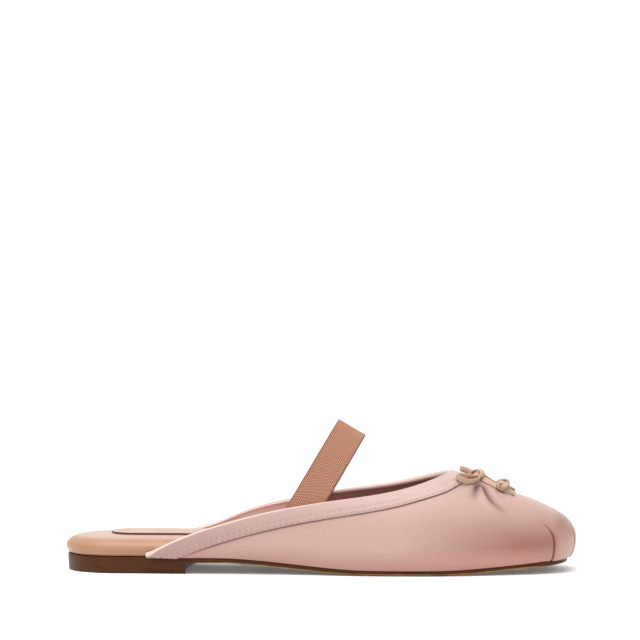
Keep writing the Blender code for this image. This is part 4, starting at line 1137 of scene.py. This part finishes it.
def tail_path(side, steps, inside, more):
    """The middle of one tail, from this far inside the knot's front down to the vamp."""
    x0 = BOW_STATION * LENGTH
    start = np.array([x0 + BOW_KNOT_SIZE[0] / 2 + GAP, float(centre_y(x0)) + side * (LACE_WIDTH / 2 + GAP)])
    along = np.linspace(-inside, BOW_TAIL_LENGTH + more, steps)
    plan = start + along[:, None] * tail_heading(side)
    falling = np.clip(1 - along / BOW_TAIL_LENGTH, 0.0, 1.3) ** 2
    lift = 2 * GAP + LACE_THICKNESS / 2 + BOW_SIDES[side].rise * LACE_WIDTH * falling
    return np.column_stack([plan, top_of_vamp(plan[:, 0], plan[:, 1]) + lift])


def end_knot_centre(side):
    plan = tail_path(side, 2, 0.0, 0.0)[-1, :2] + tail_heading(side) * (END_KNOT_SIZE[0] / 2 + GAP)
    return np.append(plan, float(top_of_vamp(plan[0], plan[1])) + 2 * GAP + END_KNOT_SIZE[2] / 2)


def end_heading(side):
    return np.array([math.cos(END_SPREAD), side * math.sin(END_SPREAD)])


def end_path(side, steps, inside, length):
    """The middle of the lace's free end, in front of its knot."""
    along = np.linspace(-inside, length, steps)
    ahead = END_KNOT_SIZE[0] * END_KNOT_FRONT + GAP + along
    plan = end_knot_centre(side)[:2] + ahead[:, None] * end_heading(side)
    share = np.clip(along / length, 0.0, 1.0)
    lift = GAP + LACE_THICKNESS * (END_LIFT[0] + (END_LIFT[1] - END_LIFT[0]) * share)
    return np.column_stack([plan, top_of_vamp(plan[:, 0], plan[:, 1]) + lift])


def lace(path, width_axis, shares, end_share=1.0, around=14, closed=False):
    """A flat lace along a path, with rounded edges. width_axis gives the direction of its width, shares its
    width and thickness as shares of LACE_WIDTH and LACE_THICKNESS, end_share how narrow both ends are."""
    width, thickness = LACE_WIDTH * shares[0], LACE_THICKNESS * shares[1]
    tangent = np.roll(path, -1, axis=0) - np.roll(path, 1, axis=0) if closed else np.gradient(path, axis=0)
    tangent = unit(tangent)
    width_axis = np.asarray(width_axis)
    wide = unit(width_axis - tangent * np.sum(width_axis * tangent, axis=1)[:, None])
    thick = np.cross(tangent, wide)
    turn = np.linspace(0, 2 * math.pi, around, endpoint=False)
    flat, round_part = (np.sign(part) * np.abs(part) ** power
                        for part, power in zip((np.cos(turn), np.sin(turn)), LACE_POWERS))
    points = []
    for k, (p, w, n) in enumerate(zip(path, wide, thick)):
        t = k / (len(path) - 1)
        share = 1.0 - (1 - end_share) * ((1 - t) ** 4 + t ** 4)
        for a, b in zip(flat, round_part):
            points.append(p + w * a * width / 2 * share + n * b * thickness / 2)
    if not closed:
        return points, ring_faces(len(path), around, "middle")
    faces = []
    for r in range(len(path)):
        s = (r + 1) % len(path)
        for i in range(around):
            j = (i + 1) % around
            faces.append([r * around + i, r * around + j, s * around + j, s * around + i])
    return points, faces


def lump(centre, size, turn, around=28, up=16):
    """The filled inside of a knot."""
    points = []
    for k in range(up):
        polar = math.pi * (k + 0.5) / up
        for i in range(around):
            a = 2 * math.pi * i / around
            x = size[0] / 2 * math.cos(a) * math.sin(polar)
            y = size[1] / 2 * math.sin(a) * math.sin(polar)
            points.append((centre[0] + x * math.cos(turn) - y * math.sin(turn),
                           centre[1] + x * math.sin(turn) + y * math.cos(turn),
                           centre[2] - size[2] / 2 * math.cos(polar)))
    return points, ring_faces(up, around, "middle")


def wrap(centre, size, turn, hand, one, shares, around=40):
    """A turn of lace round a knot. Its plane holds Z and is turned about Z by turn and by its own tilt."""
    a = np.linspace(0, 2 * math.pi, around, endpoint=False)
    x, _, z = (half * one.size / 2 for half in size)
    off = one.lean * np.sin(a) * x
    direction = turn + one.tilt * hand
    c, s = math.cos(direction), math.sin(direction)
    path = centre + np.stack([x * np.cos(a) * c - off * s, x * np.cos(a) * s + off * c, z * np.sin(a)], -1)
    return lace(path, [-s, c, 0.0], shares, closed=True)


def lace_piece(word, *parts):
    """A piece of the bow. The solid that it stands for is named bow_ and the same word."""
    node = word if word == "bow_knot" else f"bow_{word}"
    joined_piece(f"lace_{word}", parts, "lace", node)


def square_to(heading):
    """Level, and square to a heading in plan."""
    return np.array([-heading[1], heading[0], 0.0])


def build_bow():
    """The bow: its knot, loops that stand on edge, and two tails with their own end knots."""
    x0 = BOW_STATION * LENGTH
    y0 = float(centre_y(x0))
    size = np.array(BOW_KNOT_SIZE)
    centre = np.array([x0, y0, float(top_of_vamp(x0, y0)) + GAP + size[2] / 2])
    core = lump(centre + size * KNOT_CORE_PLACE, size * KNOT_CORE_SIZE, 0.0)
    lace_piece("bow_knot", core, wrap(centre, size, 0.0, 1, KNOT_WRAP, KNOT_LACE))
    for side, shape in BOW_SIDES.items():
        path = loop_path(side, 90, LOOP_HIDDEN)
        lace_piece(f"loop_{shape.word}", lace(path, LACE_UPRIGHT, LOOP_LACE, LOOP_NARROWING))
        path = tail_path(side, 36, *TAIL_HIDDEN)
        twist = -side * np.linspace(*TAIL_TWIST, len(path))[:, None]
        flat = square_to(tail_heading(side)) * np.cos(twist) + np.array([0, 0, 1.0]) * np.sin(twist)
        lace_piece(f"tail_{shape.word}", lace(path, flat, (1.0, 1.0)))
        turn = side * TAIL_SPREAD
        middle = end_knot_centre(side)
        size = np.array(END_KNOT_SIZE)
        wraps = [wrap(middle, size, turn, -side, one, END_KNOT_LACE) for one in END_KNOT_WRAPS]
        lace_piece(f"end_knot_{shape.word}", lump(middle, size * END_KNOT_CORE, turn), *wraps)
        path = end_path(side, 14, END_HIDDEN, LACE_END_LENGTH)
        across = square_to(end_heading(side))
        slant = across * math.cos(END_SLANT) - np.array([0, 0, side * math.sin(END_SLANT)])
        lace_piece(f"end_{shape.word}", lace(path, slant, END_LACE))


class Nodes:
    """Short names for building the nodes of one material, or of the world."""

    def __init__(self, name, world=None):
        self.owner = world or bpy.data.materials.new(name)
        self.owner.use_nodes = True
        self.tree = self.owner.node_tree
        self.shader = self.tree.nodes["Background" if world else "Principled BSDF"]
        self.place = self.add("ShaderNodeTexCoord").outputs["Generated" if world else "Object"]

    def add(self, kind, inputs=None, **settings):
        node = self.tree.nodes.new(kind)
        for key, value in settings.items():
            setattr(node, key, value)
        for key, value in (inputs or {}).items():
            self.feed(node.inputs[key], value)
        return node

    def feed(self, socket, value):
        if isinstance(value, bpy.types.NodeSocket):
            self.tree.links.new(value, socket)
        elif socket.type == "RGBA":
            socket.default_value = (*value, 1.0)
        else:
            socket.default_value = value

    def axes(self, vector=None):
        return self.add("ShaderNodeSeparateXYZ", {0: vector or self.place}).outputs

    def scaled(self, factors):
        return self.add("ShaderNodeVectorMath", {0: self.place, 1: factors}, operation="MULTIPLY").outputs[0]

    def noise(self, scale, detail=2.0, roughness=0.5, vector=None, distortion=0.0):
        inputs = {"Vector": vector or self.place, "Scale": scale, "Detail": detail, "Roughness": roughness,
                  "Distortion": distortion}
        return self.add("ShaderNodeTexNoise", inputs).outputs["Fac"]

    def threads(self):
        """The satin's fine warp, along the shoe."""
        return self.noise(1.0, 2.0, 0.6, self.scaled(SATIN_WARP))

    def before_strap(self):
        """0 behind the middle of the strap on the topline, 1 in front of it."""
        middle = STRAP_STATION * LENGTH + float(SHIFT[0])
        return self.span(self.axes()["X"], middle - STRAP_CHANGE, middle + STRAP_CHANGE)

    def ramp(self, value, stops):
        node = self.add("ShaderNodeValToRGB", {"Fac": value})
        items = node.color_ramp.elements
        while len(items) < len(stops):
            items.new(0.5)
        for item, (position, colour) in zip(items, stops):
            item.position = position
            item.color = (*colour, 1.0)
        return node.outputs["Color"]

    def mix(self, share, first, second):
        return self.add("ShaderNodeMix", {0: share, 6: first, 7: second}, data_type="RGBA").outputs[2]

    def maths(self, operation, first, second=0.0):
        return self.add("ShaderNodeMath", {0: first, 1: second}, operation=operation).outputs[0]

    def span(self, value, low, high, to_low=0.0, to_high=1.0, kind="LINEAR"):
        inputs = {"Value": value, "From Min": low, "From Max": high, "To Min": to_low, "To Max": to_high}
        return self.add("ShaderNodeMapRange", inputs, interpolation_type=kind).outputs[0]

    def bump(self, height, distance, strength=1.0, below=None):
        inputs = {"Height": height, "Distance": distance, "Strength": strength}
        if below is not None:
            inputs["Normal"] = below
        return self.add("ShaderNodeBump", inputs).outputs["Normal"]

    def finish(self, **inputs):
        for key, value in inputs.items():
            self.feed(self.shader.inputs[key.replace("_", " ")], value)
        return self.owner


def satin_material(name, waist, front, toe, roughness=0.36):
    """Satin: a close warp along the shoe, painted shade and painted reflection in tones that change with
    height, and painted shade in its creases.
    """
    n = Nodes(name)
    tone = n.noise(1.0, 3.0, 0.55, n.scaled(SATIN_STREAKS), 0.6)
    parts = n.axes()
    height = n.maths("ADD", n.span(parts["Z"], 0.0, SATIN_HEIGHT), n.span(tone, 0.3, 0.7, -0.05, 0.05))
    colour = n.ramp(height, waist)
    for stops, stations in ((front, SATIN_FRONT_FROM), (toe, SATIN_TOE_FROM)):
        start, end = (station * LENGTH + float(SHIFT[0]) for station in stations)
        colour = n.mix(n.span(parts["X"], start, end), colour, n.ramp(height, stops))
    fine = n.threads()
    colour = n.mix(n.span(fine, 0.35, 0.65, 0.14, 0.0), colour, SATIN_FINE)
    # painted shade in the folds, the pleats' creases and along the seam under the binding
    crease = n.add("ShaderNodeAttribute", attribute_name="crease_shade").outputs["Fac"]
    colour = n.mix(crease, colour, CREASE_SHADE_COLOUR)
    warp = n.bump(fine, 0.00004, 0.35)
    soft = n.bump(n.noise(420.0, 3.0, 0.5), 0.00010, 0.25, warp)
    return n.finish(Base_Color=colour, Roughness=roughness, Normal=soft, Specular_IOR_Level=0.32,
                    Sheen_Weight=0.10, Sheen_Roughness=0.45, Sheen_Tint=SATIN_SHEEN)


def lining_material():
    """The lining: smooth and pale behind the strap, a dark weave in front of it, and a faint glow of painted
    light.
    """
    n = Nodes("lining")
    inputs = {"Vector": n.place, "Scale": LINING_WEAVE}
    weave = n.maths("MULTIPLY", *(n.add("ShaderNodeTexWave", inputs, bands_direction=axis).outputs["Fac"]
                                  for axis in "XZ"))
    tone = n.noise(90.0, 3.0)
    colour = n.mix(n.span(weave, 0.0, 1.0, 0.0, 0.5), LINING_DARK, LINING_LIGHT)
    colour = n.mix(n.span(tone, 0.35, 0.65, 0.0, 0.25), colour, LINING_DARK)
    colour = n.mix(n.before_strap(), LINING_PALE, colour)
    # the emission is painted light: a glow in place of light through the walls
    return n.finish(Base_Color=colour, Roughness=0.62, Normal=n.bump(weave, 0.00010, 0.5), Sheen_Weight=0.15,
                    Emission_Color=colour, Emission_Strength=LINING_GLOW)


def turning_material():
    """The binding's turning inside the upper: painted light behind the strap, painted shade in front of it.
    """
    n = Nodes("turning")
    colour = n.mix(n.before_strap(), TURNING_LIT, TURNING_SHADED)
    return n.finish(Base_Color=colour, Roughness=0.5, Normal=n.bump(n.threads(), 0.00004, 0.35))


def elastic_material():
    """Woven elastic: staggered rows of small raised cells across the strap, and plain cords at its edges."""
    n = Nodes("elastic")
    along, across, _ = n.axes(n.add("ShaderNodeUVMap", uv_map="measure").outputs["UV"])
    row = n.maths("MULTIPLY", along, 2 * math.pi / WEAVE_ROW)
    cord = n.maths("MULTIPLY", across, 2 * math.pi / WEAVE_CORD)
    cells = n.maths("MULTIPLY", *(n.maths("SINE", n.maths(sign, row, cord)) for sign in ("ADD", "SUBTRACT")))
    height = n.span(cells, -1.0, 1.0)
    worn = n.noise(1400.0, 2.0)
    # colour follows the cells' height, darker in the hollows between them: painted shade, with random tone
    # mixed in
    shade = n.maths("ADD", n.maths("MULTIPLY", height, 0.75), n.maths("MULTIPLY", worn, 0.25))
    colour = n.ramp(shade, [(0.22, ELASTIC_DARK), (0.55, ELASTIC_MID), (0.85, ELASTIC_LIGHT)])
    from_edge = n.maths("SUBTRACT", STRAP_WIDTH / 2, n.maths("ABSOLUTE", across))
    edge = n.span(from_edge, 0.0004, 0.0011, 1.0, 0.0)
    colour = n.mix(n.maths("MULTIPLY", edge, 0.35), colour, ELASTIC_DARK)
    bump = n.bump(height, 0.00016, 0.8)
    return n.finish(Base_Color=colour, Roughness=0.82, Normal=bump, Sheen_Weight=0.25, Sheen_Roughness=0.5,
                    Sheen_Tint=ELASTIC_LIGHT, Specular_IOR_Level=0.25)


def leather_material(name, light, dark, grain, roughness, scale=900.0, spots=0.25, top=None):
    """Smooth leather: a fine pebble in bump and slow changes of tone, and, where top is given, painted light:
    paler where it faces up.
    """
    n = Nodes(name)
    cells = n.add("ShaderNodeTexVoronoi", {"Vector": n.place, "Scale": scale}, feature="DISTANCE_TO_EDGE")
    pebble = n.span(cells.outputs[0], 0.0, 0.12)
    tone = n.noise(60.0, 4.0, 0.6)
    colour = n.ramp(tone, [(0.3, dark), (0.7, light)])
    colour = n.mix(n.maths("MULTIPLY", n.noise(700.0, 3.0), spots), colour, dark)
    # painted light: faces that turn up take the paler top colour
    if top:
        facing_up = n.axes(n.add("ShaderNodeNewGeometry").outputs["Normal"])["Z"]
        colour = n.mix(n.span(facing_up, 0.90, 0.995), colour, top)
    bump = n.bump(pebble, grain, 0.5)
    bump = n.bump(n.noise(260.0, 3.0), grain * 3, 0.3, bump)
    rough = n.span(n.noise(180.0, 3.0), 0.3, 0.7, roughness - 0.06, roughness + 0.08)
    return n.finish(Base_Color=colour, Roughness=rough, Normal=bump)


def burnished_material(name, dark, light, scale=(120.0, 120.0, 2400.0)):
    """Stained and burnished edges: fine streaks along the cut."""
    n = Nodes(name)
    streaks = n.noise(1.0, 3.0, 0.6, n.scaled(scale))
    blotch = n.noise(140.0, 4.0, 0.6)
    colour = n.mix(n.span(blotch, 0.35, 0.7, 0.0, 0.6), n.ramp(streaks, [(0.3, dark), (0.75, light)]), light)
    return n.finish(Base_Color=colour, Roughness=0.45, Normal=n.bump(streaks, 0.00006, 0.5),
                    Specular_IOR_Level=0.15)


def plain_material(name, colour, roughness, scale=1500.0):
    """A thread, or a small painted mark: shade in a needle hole or at the sock's edge, the highlight on the
    binding's fold; with a little unevenness.
    """
    n = Nodes(name)
    tone = n.noise(scale, 2.0)
    shade = n.mix(n.span(tone, 0.3, 0.7, 0.0, 0.35), colour, tuple(c * 0.6 for c in colour))
    return n.finish(Base_Color=shade, Roughness=roughness, Normal=n.bump(tone, 0.00005, 0.4))


def make_materials():
    return {
        "satin": satin_material("satin", SATIN_WAIST, SATIN_FRONT, SATIN_TOE),
        "binding": satin_material("binding", BINDING_WAIST, BINDING_FRONT, BINDING_FRONT, 0.42),
        "binding_edge_highlight": plain_material("binding_edge_highlight", BINDING_EDGE_HIGHLIGHT, 0.45),
        "turning": turning_material(),
        "lining": lining_material(),
        "elastic": elastic_material(),
        "footbed": leather_material("footbed", FOOTBED_LIGHT, FOOTBED_DARK, 0.00004, 0.42, top=FOOTBED_LIT_TOP),
        "sock": leather_material("sock", SOCK_LIGHT, SOCK_DARK, 0.00003, 0.5),
        "sock_edge_shade": plain_material("sock_edge_shade", SOCK_EDGE_SHADE, 0.6),
        "lace": leather_material("lace", LACE_LIGHT, LACE_DARK, 0.00005, 0.55, 1500.0, 0.4),
        "sole_edge": burnished_material("sole_edge", SOLE_DARK, SOLE_BROWN),
        "sole_bevel": burnished_material("sole_bevel", SOLE_BROWN, SOLE_TAN),
        "sole_under": leather_material("sole_under", SOLE_TAN, SOLE_BROWN, 0.00006, 0.6),
        "heel": burnished_material("heel", SOLE_DARK, SOLE_BROWN, (90.0, 90.0, 1500.0)),
        "thread": plain_material("thread", THREAD, 0.6),
        "thread_light": plain_material("thread_light", THREAD_LIGHT, 0.6),
        "needle_hole": plain_material("needle_hole", NEEDLE_HOLE_SHADE, 0.8),
    }


def build_studio():
    half = FLOOR_SIZE / 2
    floor = bpy.data.meshes.new("floor")
    corners = [(-half, -half, 0), (half, -half, 0), (half, half, 0), (-half, half, 0)]
    floor.from_pydata(corners, [], [(0, 1, 2, 3)])
    item = new_object("studio_floor", floor)
    item.location.z = -FLOOR_DROP
    n = Nodes("floor_white")
    floor.materials.append(n.finish(Base_Color=FLOOR_COLOUR, Roughness=0.9, Specular_IOR_Level=0.1,
                                    Emission_Color=FLOOR_GLOW, Emission_Strength=FLOOR_GLOW_STRENGTH))
    bpy.context.scene.world = bpy.data.worlds.new("studio")
    n = Nodes("", bpy.context.scene.world)
    parts = n.axes()
    spans = [n.span(parts[axis], *span, kind="SMOOTHSTEP") for axis, span in WORLD_GRADIENTS.items()]
    seen = n.add("ShaderNodeLightPath").outputs["Is Camera Ray"]
    n.finish(Color=(1.0, 1.0, 1.0), Strength=n.maths("MAXIMUM", n.maths("MAXIMUM", *spans), seen))
    sun = bpy.data.lights.new("high_soft_light", "SUN")
    sun.energy = SUN_STRENGTH
    sun.angle = SUN_ANGLE
    new_object("high_soft_light", sun).rotation_euler = Vector(SUN_FROM).to_track_quat("Z", "Y").to_euler()
    light = bpy.data.lights.new("softbox_over", "AREA")
    light.shape = "RECTANGLE"
    light.size, light.size_y = SOFTBOX_SIZE
    light.energy = SOFTBOX_POWER
    lamp = new_object("softbox_over", light)
    lamp.location = SOFTBOX_PLACE
    lamp.rotation_euler = (Vector(SOFTBOX_AIM) - Vector(SOFTBOX_PLACE)).to_track_quat("-Z", "Y").to_euler()


def build_camera():
    """Looks level across the shoe from its outer side, as the photograph does, with no roll and no shift."""
    azimuth, elevation = CAMERA_AZIMUTH, CAMERA_ELEVATION
    pixels = LENS / SENSOR_WIDTH * IMAGE_SIZE
    pitch = elevation - math.atan((AIM_PIXEL[1] - IMAGE_SIZE / 2) / pixels)
    back, ahead = (Vector((math.sin(azimuth) * math.cos(angle), -math.cos(azimuth) * math.cos(angle),
                           math.sin(angle))) * sign for angle, sign in ((elevation, 1), (pitch, -1)))
    right = Vector((math.cos(azimuth), math.sin(azimuth), 0))
    up = right.cross(ahead)
    data = bpy.data.cameras.new("camera")
    data.lens = LENS
    data.sensor_width = SENSOR_WIDTH
    camera = new_object("camera", data)
    turn = Matrix((right, up, -ahead)).transposed().to_4x4()
    spot = Vector(AIM_POINT) + Vector(SHIFT) + back * CAMERA_DISTANCE
    camera.matrix_world = Matrix.Translation(spot) @ turn
    bpy.context.scene.camera = camera


MATERIALS = make_materials()
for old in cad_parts.values():
    old.data.materials.clear()
shell = Shell()
build_upper(shell)
build_band(shell)
build_stitches(shell)
build_outsole()
build_heel()
build_footbed()
build_sock()
build_strap()
build_bow()
build_studio()
build_camera()
bpy.context.scene.view_settings.view_transform = "Standard"
